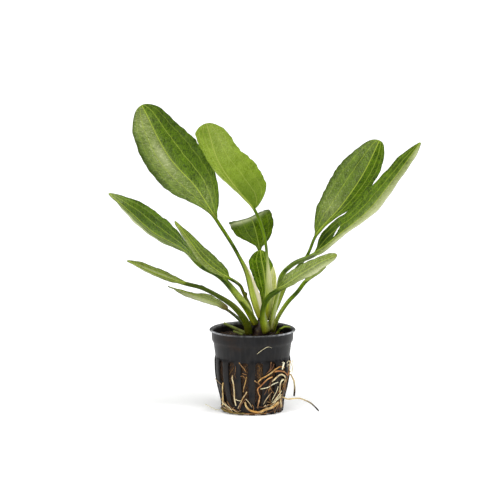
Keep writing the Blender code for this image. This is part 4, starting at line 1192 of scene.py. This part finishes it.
    def _faces(self, gone: np.ndarray, count: int, wide: int) -> list:
        """The faces of the shell, with walls round every slot.

        Args:
            gone: Which cells are open.
            count: Rows.
            wide: Columns.

        Returns:
            The faces.
        """
        skin = count * wide
        faces = []
        for (j, i), (a, b, c, d) in zip(np.ndindex(count - 1, wide), ring_faces(count, wide)):
            if gone[j, i]:
                edges = ((gone[j, i - 1], a, d), (gone[j, (i + 1) % wide], c, b), (gone[j - 1, i], b, a),
                         (gone[j + 1, i], d, c))
                faces += [(p, q, skin + q, skin + p) for open_too, p, q in edges if not open_too]
            else:
                faces += [(a, d, c, b), (skin + a, skin + b, skin + c, skin + d)]
        last = (count - 1) * wide
        for i in range(wide):
            n = (i + 1) % wide
            faces.append((i, n, skin + n, skin + i))
            faces.append((last + i, 2 * skin, last + n))
            faces.append((skin + last + i, skin + last + n, 2 * skin + 1))
        return faces


def pot_radius(height: float) -> float:
    """Outer radius of the pot at a height."""
    rows = [(z, r) for r, z in reversed(NetPot.outside) if r > 19]
    return float(np.interp(height, [z for z, _ in rows], [r for _, r in rows]))


def on_pot(degrees: float, height: float, stand_off: float) -> tuple[float, float, float]:
    """A point this far out from the pot's wall, by degrees to the right of the front and height."""
    radius = pot_radius(height) + stand_off
    angle = math.radians(degrees)
    return radius * math.sin(angle), -radius * math.cos(angle), height


@dataclass
class Plug:
    """The fibre plug that fills the pot, with crumbs and fibres on it, and the crown on top."""

    top: float = 46.8
    seat: float = 45.4
    crown_at: tuple[float, float] = (5.0, 0.0)
    crown_middle: float = 49.2
    crown_bottom: float = 45.9
    crown_radii: tuple[float, float, float] = (6.0, 5.4, 8.2)
    # The side from the bottom up, as (radius, height)
    wall: Rows = ((18.0, 1.8), (18.4, 5.7), (19.7, 12.2), (22.0, 24.2), (22.2, 34.2), (21.5, 35.1), (22.7, 42.8),
                   (24.1, 45.9))
    # Where coir lies bare: the middle in degrees, its height, the width, how tall and how much
    worn: Rows = ((12.0, 28.0, 7.0, 6.0, 1.0), (33.0, 26.0, 5.0, 8.0, 0.4), (-34.0, 26.0, 5.0, 8.0, 0.3))
    crumbs: int = 700
    crumbs_within: float = 23.6
    crumbs_off_crown: float = 7.5
    fibres: int = 260
    fibre_points: int = 9
    fibre_sides: int = 5
    fibres_within: float = 23.4
    wall_rows: int = 56
    top_rows: int = 34
    columns: int = 160
    seed: int = 11

    def build(self) -> None:
        """Build the plug, its crumbs and fibres, and the crown."""
        peat = PeatFibre().make()
        self._body(peat)
        self._crumbs(peat)
        self._fibres()
        self._crown()

    def _soil_height(self, x: np.ndarray, y: np.ndarray) -> np.ndarray:
        """Height of the plug's top, lumpy but flat under the crown."""
        spots = np.stack([x, y, np.full_like(x, self.top)], axis=-1)
        lumpy = self.top + 0.9 * lumps(spots, 3.4) + 0.35 * lumps(spots, 1.1, 2.0)
        away = np.hypot(x - self.crown_at[0], y - self.crown_at[1])
        under = ease(away, [8.0, 12.0], [1.0, 0.0])
        return lumpy * (1 - under) + self.seat * under

    def _body(self, peat: bpy.types.Material) -> None:
        """The plug itself, its side rough where it shows in the slots."""
        radii, levels = zip(*self.wall)
        angles = np.linspace(0, 2 * math.pi, self.columns, endpoint=False)
        rows = []
        for height in np.linspace(levels[0], levels[-1], self.wall_rows):
            radius = np.interp(height, levels, radii)
            spots = around(radius, angles, height)
            rough = radius - 0.25 + 0.45 * lumps(spots, 2.6, 4.0) + 0.25 * lumps(spots, 0.9, 5.0)
            rows.append(around(np.minimum(rough, radius + 0.1), angles, height))
        for share in np.linspace(0.97, 0.04, self.top_rows):
            row = around(radii[-1] * share, angles, 0.0)
            row[:, 2] = self._soil_height(row[:, 0], row[:, 1])
            rows.append(row)
        points = np.concatenate([*rows, [[0.0, 0.0, self.seat], [0.0, 0.0, levels[0]]]])
        count, wide = len(rows), self.columns
        last = (count - 1) * wide
        faces = ring_faces(count, wide)
        faces += [(last + i, last + (i + 1) % wide, len(points) - 2) for i in range(wide)]
        faces += [((i + 1) % wide, i, len(points) - 1) for i in range(wide)]
        turn = degrees_round(points)
        worn = sum(strength * np.exp(-(((turn - middle) / width) ** 2) - ((points[:, 2] - height) / tall) ** 2)
                   for middle, height, width, tall, strength in self.worn)
        add_piece("growing_plug_pressed", points, faces, peat, "peat_fibre", ("growing_plug",), {"worn": worn})

    def _crumbs(self, peat: bpy.types.Material) -> None:
        """Crumbs of soil that lie on the plug, each a dented ball of twenty faces."""
        rng = np.random.default_rng(self.seed)
        golden = (1 + math.sqrt(5)) / 2
        ball = np.array([(-1, golden, 0), (1, golden, 0), (-1, -golden, 0), (1, -golden, 0), (0, -1, golden),
                         (0, 1, golden), (0, -1, -golden), (0, 1, -golden), (golden, 0, -1), (golden, 0, 1),
                         (-golden, 0, -1), (-golden, 0, 1)]) / math.sqrt(1 + golden**2)
        hull = [(0, 11, 5), (0, 5, 1), (0, 1, 7), (0, 7, 10), (0, 10, 11), (1, 5, 9), (5, 11, 4), (11, 10, 2),
                (10, 7, 6), (7, 1, 8), (3, 9, 4), (3, 4, 2), (3, 2, 6), (3, 6, 8), (3, 8, 9), (4, 9, 5),
                (2, 4, 11), (6, 2, 10), (8, 6, 7), (9, 8, 1)]
        points, faces = [], []
        for _ in range(self.crumbs):
            size = rng.uniform(0.25, 0.95)
            away, angle = self.crumbs_within * math.sqrt(rng.uniform(0.02, 1.0)), rng.uniform(0, 2 * math.pi)
            x, y = away * math.sin(angle), -away * math.cos(angle)
            if math.hypot(x - self.crown_at[0], y - self.crown_at[1]) < self.crumbs_off_crown:
                continue
            z = float(self._soil_height(np.array([x]), np.array([y]))[0])
            first = len(ball) * len(points)
            dents = rng.uniform(0.6, 1.3, (len(ball), 1))
            points.append(ball * size * dents * (1.0, 1.0, 0.7) + (x, y, z + 0.2 * size))
            faces += [(a + first, b + first, c + first) for a, b, c in hull]
        points = np.concatenate(points)
        add_piece("soil_crumbs", points, faces, peat, "peat_fibre", (), {"worn": np.zeros(len(points))})

    def _fibres(self) -> None:
        """Coir fibres: one in three on the plug's top, and the others between the ribs."""
        rng = np.random.default_rng(self.seed + 1)
        strands = Strands(self.fibre_sides)
        radii, levels = zip(*self.wall)
        for index in range(self.fibres):
            if index % 3 == 0:
                away, turn = 22.5 * math.sqrt(rng.uniform(0.1, 1.0)), rng.uniform(0, 2 * math.pi)
                way, length = rng.uniform(0, 2 * math.pi), rng.uniform(3.0, 9.0)
                run = np.linspace(-0.5, 0.5, self.fibre_points) * length
                bend = rng.uniform(-0.12, 0.12) * run**2 * 0.4
                x = away * math.sin(turn) + run * math.cos(way) - bend * math.sin(way)
                y = -away * math.cos(turn) + run * math.sin(way) + bend * math.cos(way)
                far = np.maximum(np.hypot(x, y) / self.fibres_within, 1.0)
                x, y = x / far, y / far
                z = self._soil_height(x, y) + 0.15 + 0.5 * rng.uniform(0, 1) * np.cos(run / length * math.pi)
                route = np.stack([x, y, z], axis=-1)
            else:
                height = rng.uniform(7.0, 33.0)
                turn, lean, length = rng.uniform(0, 360), rng.uniform(-1.0, 1.0), rng.uniform(3.0, 10.0)
                run = np.linspace(-0.5, 0.5, self.fibre_points) * length
                z = np.clip(height + run, 6.5, 33.5)
                angles = np.radians(turn + lean * run * 1.6 + 2.0 * np.sin(run * rng.uniform(0.4, 1.1)))
                route = around(np.interp(z, levels, radii) + 0.12, angles, z)
            thick = rng.uniform(0.09, 0.22)
            strands.add(route, np.linspace(thick, thick * 0.6, self.fibre_points), rng.uniform(0.2, 1.3))
        strands.build("coir_fibres", RootSkin("coir_fibre", "#7a5526", "#a98447", stain="#2f1c0d"), "dark_root")

    def _crown(self) -> None:
        """The crown: a ball with lumps of two sizes, flat where it sits on the plug."""
        wide, tall = 48, 30
        points = []
        for j in range(tall):
            polar = math.pi * (j + 0.5) / tall
            for i in range(wide):
                turn = 2 * math.pi * i / wide
                points.append((math.sin(polar) * math.cos(turn), math.sin(polar) * math.sin(turn), math.cos(polar)))
        ball = np.array([*points, (0, 0, 1), (0, 0, -1)])
        grown = 1.0 + 0.08 * lumps(ball, 0.43) + 0.05 * lumps(ball, 0.16, 3.0)
        shape = ball * grown[:, None] * self.crown_radii + (*self.crown_at, self.crown_middle)
        shape[:, 2] = np.maximum(shape[:, 2], self.crown_bottom)
        faces = [(a, d, c, b) for a, b, c, d in ring_faces(tall, wide)]
        last = (tall - 1) * wide
        faces += [(wide * tall, i, (i + 1) % wide) for i in range(wide)]
        faces += [(wide * tall + 1, last + (i + 1) % wide, last + i) for i in range(wide)]
        add_piece("crown_grown", shape, faces, RootStock().make(), "root_stock", ("crown",))


GOLDEN = RootSkin("golden_root_skin", "#c08c3c", "#f8e4a4", stain="#6a3c14")
CREAM = RootSkin("cream_root_skin", "#c49c54", "#faf2c8", stain="#74481c", stained=0.9)
WHITE = RootSkin("white_root_skin", "#e8dfb4", "#fbf8e0", stain="#a3874c", stained=0.3)
RUSTY = RootSkin("rusty_root_skin", "#9a4e1a", "#dca860", stain="#3c1c0c")
MOSSY = RootSkin("mossy_root_skin", "#5c4e1c", "#8e7634", stain="#2c220c")
DRYING = RootSkin("drying_root_skin", "#b98a44", "#ecdca8", stain="#6b4420", tip="#0e0704", stained=0.3)


@dataclass
class Root:
    """A root that leaves the plug by a slot and lies on the pot, or hangs loose from there.

    Its stops on the pot are (degrees to the right of the front, height, distance from the wall), and
    the loose ones are points. The radius goes from thick to thin.
    """

    name: str
    stops: Points
    thick: float
    thin: float
    finish: RootSkin = GOLDEN
    slot: str = "golden_root"
    loose: Points = field(default_factory=list)
    shade: float = 0.1

    STEP, FEWEST_RINGS, SIDES = 0.5, 12, 12

    def build(self) -> None:
        """Build the root and dress it."""
        route = Route([*(on_pot(*stop) for stop in self.stops), *self.loose])
        share, middle = route.evenly(self.STEP, self.FEWEST_RINGS)
        radii = (self.thick + (self.thin - self.thick) * share) * (1 + 0.16 * lumps(middle, 1.5, 9.0))
        radii *= ease(share, [0.0, 0.96, 1.0], [1.0, 1.0, 0.45])
        strands = Strands(self.SIDES)
        strands.add(middle, radii, self.shade)
        strands.build(self.name + "_skin", self.finish, self.slot, (self.name,))


ROOTS = [
    Root("root_white_right", [(52.4, 32.7, -0.6), (51.4, 32.9, 1.1), (46.8, 31.6, 2.4), (45.5, 30.2, 2.5),
                              (45.0, 29.0, 2.4)], 0.52, 0.45, WHITE, "white_root"),
    Root("root_arch_right", [(35.2, 28.0, -0.55), (35.2, 28.1, 0.9), (39.0, 28.3, 1.1), (43.0, 28.1, 1.1),
                             (49.5, 27.5, 1.05), (57.0, 25.9, 1.05), (62.5, 24.3, 1.1), (67.0, 27.5, 1.0),
                             (69.0, 31.2, 1.0), (73.8, 32.4, 1.0), (76.5, 32.4, -0.4)], 0.45, 0.4, RUSTY,
         "dark_root"),
    Root("root_knee_right", [(32.6, 21.8, -0.5), (33.4, 22.8, 0.8), (38.0, 24.5, 1.1), (45.0, 25.8, 1.15),
                             (52.5, 24.7, 1.1), (57.5, 22.7, 1.0), (58.2, 20.1, 0.6), (57.2, 18.1, -0.4)],
         0.50, 0.44, CREAM, "pale_root"),
    Root("root_upright_right", [(53.4, 22.1, -0.5), (53.2, 22.1, 1.0), (48.6, 21.7, 1.2), (46.4, 20.0, 1.15),
                                (46.6, 17.0, 1.1), (49.4, 13.0, 1.1), (52.5, 9.3, 1.5), (55.0, 6.1, 1.8),
                                (55.5, 3.7, 1.9)], 0.44, 0.40, CREAM, "pale_root"),
    Root("root_slant_upper", [(52.6, 29.4, -0.6), (52.4, 29.7, 0.9), (45.0, 30.8, 1.0), (36.3, 29.8, 1.0),
                              (28.8, 27.7, 1.0), (20.3, 25.7, 1.0), (12.8, 24.1, 1.0), (7.8, 21.9, 0.9)],
         0.38, 0.44, shade=0.35),
    Root("root_slant_lower", [(30.4, 24.9, -0.6), (29.9, 24.9, 1.0), (24.2, 24.1, 1.0), (18.3, 22.1, 0.95),
                              (12.6, 19.5, 0.9), (8.2, 17.8, 0.8), (9.1, 15.0, 0.8), (11.8, 12.2, 0.8),
                              (10.4, 9.6, 0.8), (9.2, 6.6, 0.9)], 0.42, 0.30, RUSTY, "dark_root"),
    Root("root_cross_right", [(13.2, 17.2, -0.5), (14.2, 17.6, 0.8), (23.8, 18.3, 0.9), (32.4, 20.0, 0.9),
                              (41.9, 21.0, 0.9)], 0.26, 0.30, WHITE, "pale_root", shade=0.3),
    Root("root_under_front", [(-12.4, 8.8, 1.2), (-10.8, 6.2, 1.3), (-5.5, 3.9, 1.4), (4.2, 2.7, 1.45),
                              (12.2, 2.4, 1.5), (21.2, 3.8, 1.5), (34.2, 4.8, 1.5), (43.2, 6.6, 1.8),
                              (46.8, 8.0, 2.0)], 0.55, 0.85, shade=0.2),
    Root("root_hanging_right", [(74.8, 23.5, -0.6), (74.6, 23.9, 1.0)], 0.45, 0.72, DRYING, "dark_root",
         [(24.9, -6.8, 22.3), (26.0, -7.2, 20.0), (26.4, -7.6, 17.2), (26.4, -8.0, 12.9), (26.1, -8.0, 10.2)]),
    Root("root_long_loose", [(58.0, 10.0, -0.4), (59.5, 10.2, 1.0)], 0.45, 0.5, DRYING, "dark_root",
         [(21.5, -13.0, 9.4), (25.7, -13.5, 9.7), (29.8, -13.5, 9.8), (32.7, -13.0, 8.7), (36.4, -11.5, 6.6),
          (39.2, -10.0, 3.9), (41.8, -8.0, 0.7)]),
    Root("root_outer_left", [(-54.4, 19.9, -0.5), (-54.2, 17.3, 0.6), (-55.6, 13.6, 0.9), (-58.6, 9.1, 1.05),
                             (-61.8, 5.7, 1.05), (-64.3, 4.7, 1.05)], 0.34, 0.46),
    Root("root_edge_left", [(-70.0, 2.6, 1.15), (-56.0, 1.8, 1.2), (-38.5, 1.2, 1.2), (-22.0, 1.2, 1.2),
                            (-13.0, 1.5, 1.2)], 0.6, 0.55, MOSSY, "mossy_root"),
    Root("root_inner_left", [(-32.2, 25.6, -0.4), (-31.4, 23.8, 0.8), (-29.9, 21.2, 1.05), (-29.4, 16.5, 1.05),
                             (-30.8, 10.6, 1.05), (-29.4, 5.9, 1.05)], 0.37, 0.42, CREAM, "pale_root"),
    Root("root_upper_middle", [(-9.2, 25.2, -0.5), (-10.6, 22.2, 0.4), (-13.9, 17.6, 0.4), (-15.3, 15.2, -0.3)],
         0.28, 0.26, CREAM, "pale_root", shade=0.35),
    Root("root_lower_middle", [(-9.4, 15.4, -0.3), (-10.6, 14.4, 0.7), (-14.0, 12.5, 1.05), (-20.7, 7.8, 1.05),
                               (-26.0, 4.2, 1.05)], 0.40, 0.36, CREAM, "pale_root", shade=0.3),
    Root("root_floor_left", [], 0.2, 0.25, WHITE, "pale_root",
         [(-20.6, -3.2, 0.8), (-22.1, -2.0, 0.5), (-24.3, 2.0, 0.5), (-27.2, 10.0, 0.5), (-30.1, 18.0, 0.6)]),
]


@dataclass
class Strand:
    """A thin root on the pot: its radius, how dark it is, how far out it lies, and its route.

    A stop is (degrees to the right of the front, height), and has a third number where the root lies
    further out than elsewhere.
    """

    radius: float
    shade: float
    stand_off: float
    stops: Points


@dataclass
class FineRoots:
    """The thin roots between the main ones, as they show in front and as they likely run elsewhere."""

    finish: RootSkin = RootSkin("fine_root_skin", "#b78644", "#efe3b8", stain="#4a240e", stained=0.9)
    seed: int = 5
    sides: int = 6
    step: float = 0.6
    fewest_rings: int = 8
    hidden_from: float = 104.0  # degrees from the front to either side
    front: list[Strand] = field(default_factory=lambda: [
        Strand(.22, .2, .9, [(-76, 21.0), (-63, 19.8), (-57, 18.9), (-53, 18.3)]),
        Strand(.30, -.1, 1.2, [(-64, 7.0), (-55, 5.6), (-48, 5.1), (-41, 3.6), (-37, 2.0)]),
        Strand(.34, .35, 1.1, [(-70, 4.8), (-62, 3.9), (-54, 3.3), (-44, 2.4), (-36, 1.6)]),
        Strand(.28, .3, 1.0, [(-66, 9.0), (-60, 7.0), (-50, 4.0), (-40, 3.2), (-33, 4.8)]),
        Strand(.24, .2, 1.2, [(-58, 8.0), (-52, 6.0), (-44, 3.0), (-36, 3.4), (-28, 2.2), (-20, 3.2)]),
        Strand(.28, .4, 1.0, [(-48, 8.0), (-42, 5.0), (-34, 3.4), (-26, 3.0)]),
        Strand(.45, .5, .9, [(-30, 1.4), (-17, 1.3), (-8, 1.2), (2, 1.4), (12, 1.1), (24, 1.6)]),
        Strand(.30, .9, 1.0, [(20, 1.3), (32, 1.9), (44, 3.2), (54, 4.2), (62, 4.0)]),
        Strand(.16, .9, .4, [(-26, 32.1), (-26, 29.4), (-27, 25.8), (-25, 23.7)]),
        Strand(.30, .3, .2, [(-20.5, 34.2), (-19, 33.4), (-15, 31.5), (-12, 30.0), (-9.5, 28.2)]),
        Strand(.24, .5, .2, [(-18, 25.5), (-14, 25.8), (-12, 24.6), (-9, 24.0)]),
        Strand(.22, .6, .0, [(-16, 27.4), (-12.5, 27.0), (-9, 26.6)]),
        Strand(.36, .7, 1.0, [(-12, 10.6), (-16, 8.8), (-20, 6.9), (-22, 4.8), (-24, 2.6)]),
        Strand(.22, .0, 1.0, [(-29, 10.2), (-24, 9.6), (-19, 9.6)]),
        Strand(.22, .0, 1.0, [(-11, 11.0), (-10, 10.5), (-6, 8.7), (-3, 6.9), (-1, 5.4)]),
        Strand(.34, .2, .3, [(3, 23.0), (5, 22.2), (8, 21.4)]),
        Strand(.34, .6, 1.0, [(8, 21.8), (10.5, 20.6), (13, 19.3)]),
        Strand(.24, .5, .9, [(29, 13.9), (29.4, 11.8), (30, 10.2), (32, 8.2)]),
        Strand(.22, -.3, 1.3, [(42, 18.2), (40.5, 15.6), (38, 13.2), (35, 10.8), (33, 8.6)]),
        Strand(.20, -.3, 1.5, [(51, 15.0), (46, 12.6), (42, 9.6), (40, 6.8)]),
        Strand(.22, -.3, 1.4, [(48, 13.6), (44, 11.6), (40, 9.8), (35, 8.0)]),
        Strand(.26, -.3, 1.5, [(52, 11.4), (48, 10.2), (42, 9.0), (37, 8.0), (33, 7.6)]),
        Strand(.18, -.3, 1.5, [(53, 12.4), (47, 11.2), (41, 8.2), (36, 6.4), (31, 6.0)]),
        Strand(.26, .6, 1.2, [(54, 9.0), (48, 8.6), (40, 7.6), (32, 6.8), (25, 6.2), (21, 5.8)]),
        Strand(.22, .4, 1.0, [(24, 8.8), (27, 8.6), (32, 7.8)]),
        Strand(.24, .9, .9, [(45, 16.0), (44, 13.0), (42, 11.0), (38, 9.0), (36, 6.0)]),
        Strand(.24, .7, .8, [(50, 20.0), (49, 16.6), (45, 14.0), (43, 11.0)]),
        Strand(.55, .2, .9, [(24, 6.4), (21.5, 5.9), (19.5, 5.6)]),
        Strand(.24, .4, .9, [(-1, 7.2), (2, 5.4), (1.4, 3.4), (1, 2.0)]),
        Strand(.42, .2, .9, [(11.2, 10.2), (10.4, 8.2), (9.4, 6.2), (9, 4.6)]),
        Strand(.30, .9, .9, [(7, 5.4), (12, 5.7), (16, 5.4), (22, 5.1)]),
        Strand(.20, .2, 1.2, [(60, 22.0), (56, 19.6), (54, 16.6), (58, 13.8)]),
        Strand(.20, .6, 1.2, [(62, 20.0), (59, 18.0), (58, 14.4), (56, 10.6), (57, 8.0)]),
        Strand(.22, -.4, 2.0, [(56, 32.4), (60, 33.6), (64.5, 32.4), (63, 30.8), (58, 31.4), (56.5, 30.0)]),
        Strand(.24, -.4, 2.3, [(62, 33.4), (67, 32.1), (70, 30.0), (72, 27.9), (67, 26.4), (61, 25.4)]),
        Strand(.22, -.4, 2.0, [(66, 31.0), (63, 28.6), (66, 26.6), (71, 25.8)]),
        Strand(.22, -.4, 2.4, [(70, 33.6), (74, 31.4), (76, 28.6), (73, 25.4), (68, 23.6)]),
        Strand(.20, .5, 1.1, [(72, 26.0), (66, 24.6), (60, 25.2), (54, 27.0), (50, 29.4)]),
        Strand(.34, .9, .4, [(29, 34.4), (28, 33.0), (28, 31.0), (24, 28.3), (20, 26.6)]),
        Strand(.26, .8, .6, [(33, 33.0), (31, 30.8), (27, 29.0), (22, 27.6)]),
        Strand(.22, .6, 1.2, [(66, 24.4), (62, 20.8), (61, 17.6), (63, 14.0), (62, 10.0)]),
        Strand(.13, -.4, .10, [(7, 40.0), (9.1, 40.8), (16.4, 43.1), (22.5, 44.3), (28.5, 43.4)]),
        Strand(.26, .8, 1.4, [(36, 4.6), (40, 6.6), (46, 7.0), (50, 5.4), (49, 3.0)]),
        Strand(.24, .3, 1.2, [(57, 9.6), (60, 6.6), (64, 4.4), (70, 3.2)]),
    ])

    def build(self) -> None:
        """Build both groups of strands and dress them."""
        self._bundle("fine_roots_front", self.front)
        self._bundle("fine_roots_around", self._around())

    def _around(self) -> list[Strand]:
        """Strands out of the slots at the sides and back, and along the foot there."""
        rng = np.random.default_rng(self.seed)
        pot = NetPot()
        strands = []
        for k in range(pot.ribs):
            middle = pot.first_rib + 360 / pot.ribs * (k + 0.5)
            if min(middle % 360, -middle % 360) < self.hidden_from:
                continue
            for _ in range(rng.integers(3, 6)):
                angle, height = middle + rng.uniform(-3, 3), rng.uniform(12, 31)
                lean, stops = rng.uniform(-1.6, 1.6), [(angle, height + 1.0, -0.5)]
                out = rng.uniform(0.6, 1.2)
                while height > rng.uniform(1.5, 9.0) and len(stops) < 8:
                    stops.append((angle, height, out))
                    angle += lean * rng.uniform(0.5, 4.0) + rng.uniform(-2.0, 2.0)
                    height = max(1.2, height - rng.uniform(1.5, 4.5))
                strands.append(Strand(rng.uniform(0.2, 0.6), rng.uniform(0.0, 0.9), 0.0, stops))
        for _ in range(18):
            angle, height, out = rng.uniform(26, 66), rng.uniform(5, 24), rng.uniform(0.8, 1.5)
            lean, drop = rng.uniform(-3, 5), rng.uniform(1.0, 3.5)
            stops = [(angle - i * lean + rng.uniform(-1, 1), height - i * drop, out) for i in range(4)]
            stops = [(a, max(h, 1.0), o) for a, h, o in stops]
            strands.append(Strand(rng.uniform(0.16, 0.28), rng.uniform(0.1, 0.9), 0.0, stops))
        for _ in range(9):
            angle, turn = rng.uniform(105, 215), rng.uniform(5, 9)
            stops = [(angle + i * turn, rng.uniform(1.0, 3.5), rng.uniform(0.9, 1.3)) for i in range(5)]
            strands.append(Strand(rng.uniform(0.3, 0.6), rng.uniform(0.3, 1.0), 0.0, stops))
        return strands

    def _bundle(self, name: str, strands: list[Strand]) -> None:
        """Join strands in one piece.

        Args:
            name: The piece's name.
            strands: The strands.
        """
        bundle = Strands(self.sides)
        for strand in strands:
            stops = [on_pot(angle, height, strand.stand_off + sum(more)) for angle, height, *more in strand.stops]
            share, middle = Route(stops).evenly(self.step, self.fewest_rings)
            radii = strand.radius * (1 + 0.2 * lumps(middle, 1.3, 9.0)) * ease(share, [0, 0.7, 1], [1.0, 0.9, 0.45])
            bundle.add(middle, radii, strand.shade)
        bundle.build(name, self.finish, "golden_root")


@dataclass
class OldStalks:
    """Two old leaf stalks that lie on the soil, each with its route and its radius at both ends."""

    finish: RootSkin = RootSkin("old_stalk_skin", "#4c5c12", "#98a23c", stain="#3a2c12")
    sides: int = 14
    step: float = 0.5
    fewest_rings: int = 40
    routes: tuple[tuple[str, Points, float, float], ...] = (
        ("old_stalk_left", [(-4.4, 1.2, 48.9), (-9.5, 3.0, 51.0), (-18.0, 7.0, 54.2)], 1.1, 0.8),
        ("old_stalk_left_short", [(-6.2, -3.0, 48.7), (-9.4, -2.0, 49.8), (-12.0, -1.0, 50.5)], 0.8, 0.6),
    )

    def build(self) -> None:
        """Build both stalks and dress them."""
        for name, stops, thick, thin in self.routes:
            share, middle = Route(stops).evenly(self.step, self.fewest_rings)
            radii = (thick + (thin - thick) * share) * (1 + 0.14 * lumps(middle, 2.0, 6.0))
            strands = Strands(self.sides)
            strands.add(middle, radii, 0.0)
            strands.build(name + "_grown", self.finish, "old_stalk", (name,))


@dataclass
class Studio:
    """The camera, the pale floor and the soft light."""

    pitch: float = 8.6
    distance: float = 3000.0
    focal_pixels: float = 4781.0
    target: tuple[float, float, float] = (-1.57, 0.0, 101.98)
    frame_pixels: int = 500
    sensor: float = 36.0
    clip_end: float = 60.0  # metres
    floor_reach: float = 25.0  # metres
    floor_drop: float = 0.05
    floor_glow: float = 0.18
    room_light: float = 0.2
    # Lamps: the way towards each, its strength and how many degrees wide it is
    lamps: tuple[tuple[str, tuple[float, float, float], float, float], ...] = (
        ("top", (0.1, -0.35, 1.0), 2.8, 40.0), ("front_left", (-0.7, -0.8, 0.45), 0.75, 25.0),
        ("back_right", (0.7, 0.7, 0.6), 1.0, 30.0))

    def build(self) -> None:
        """Set up the camera, the floor and the lights."""
        scene = bpy.context.scene
        data = bpy.data.cameras.new("camera")
        data.sensor_width = self.sensor
        data.lens = self.focal_pixels / self.frame_pixels * self.sensor
        data.clip_end = self.clip_end
        camera = bpy.data.objects.new("camera", data)
        tilt = math.radians(self.pitch)
        back = Vector((0.0, -math.cos(tilt), math.sin(tilt)))
        camera.location = (Vector(self.target) + back * self.distance) * MM
        camera.rotation_euler = (math.pi / 2 - tilt, 0.0, 0.0)
        scene.collection.objects.link(camera)
        scene.camera = camera
        scene.view_settings.view_transform = "Standard"
        self._floor()
        self._light()

    def _floor(self) -> None:
        """A sheet of white paper, lit a little from below as on a light table."""
        mesh = bpy.data.meshes.new("paper_floor")
        corners = [(x * self.floor_reach, y * self.floor_reach, 0) for x, y in ((-1, -1), (1, -1), (1, 1), (-1, 1))]
        mesh.from_pydata(corners, [], [(0, 1, 2, 3)])
        floor = bpy.data.objects.new("paper_floor", mesh)
        floor.location.z = -self.floor_drop * MM
        mesh.materials.append(Look("matt_white_paper").finish({
            "Base Color": "#f7f7f7", "Roughness": 0.9, "Specular IOR Level": 0.1, "Emission Color": "#ffffff",
            "Emission Strength": self.floor_glow}))
        bpy.context.scene.collection.objects.link(floor)

    def _light(self) -> None:
        """A white room and three broad lamps."""
        world = bpy.data.worlds.new("white_room")
        world.use_nodes = True
        room = world.node_tree.nodes["Background"]
        room.inputs["Color"].default_value = linear("#ffffff")
        room.inputs["Strength"].default_value = self.room_light
        bpy.context.scene.world = world
        for name, way, strength, width in self.lamps:
            data = bpy.data.lights.new(name, "SUN")
            data.energy = strength
            data.angle = math.radians(width)
            lamp = bpy.data.objects.new(name, data)
            lamp.rotation_mode = "QUATERNION"
            lamp.rotation_quaternion = Vector(way).to_track_quat("Z", "Y")
            bpy.context.scene.collection.objects.link(lamp)


def main() -> None:
    """Build the studio, the pot and the plant."""
    logging.basicConfig(level=logging.INFO, format="%(message)s")
    Studio().build()
    NetPot().build()
    Plug().build()
    for leaf in LEAVES:
        leaf.build()
    OldStalks().build()
    for root in ROOTS:
        root.build()
    FineRoots().build()


if __name__ == "__main__":
    main()
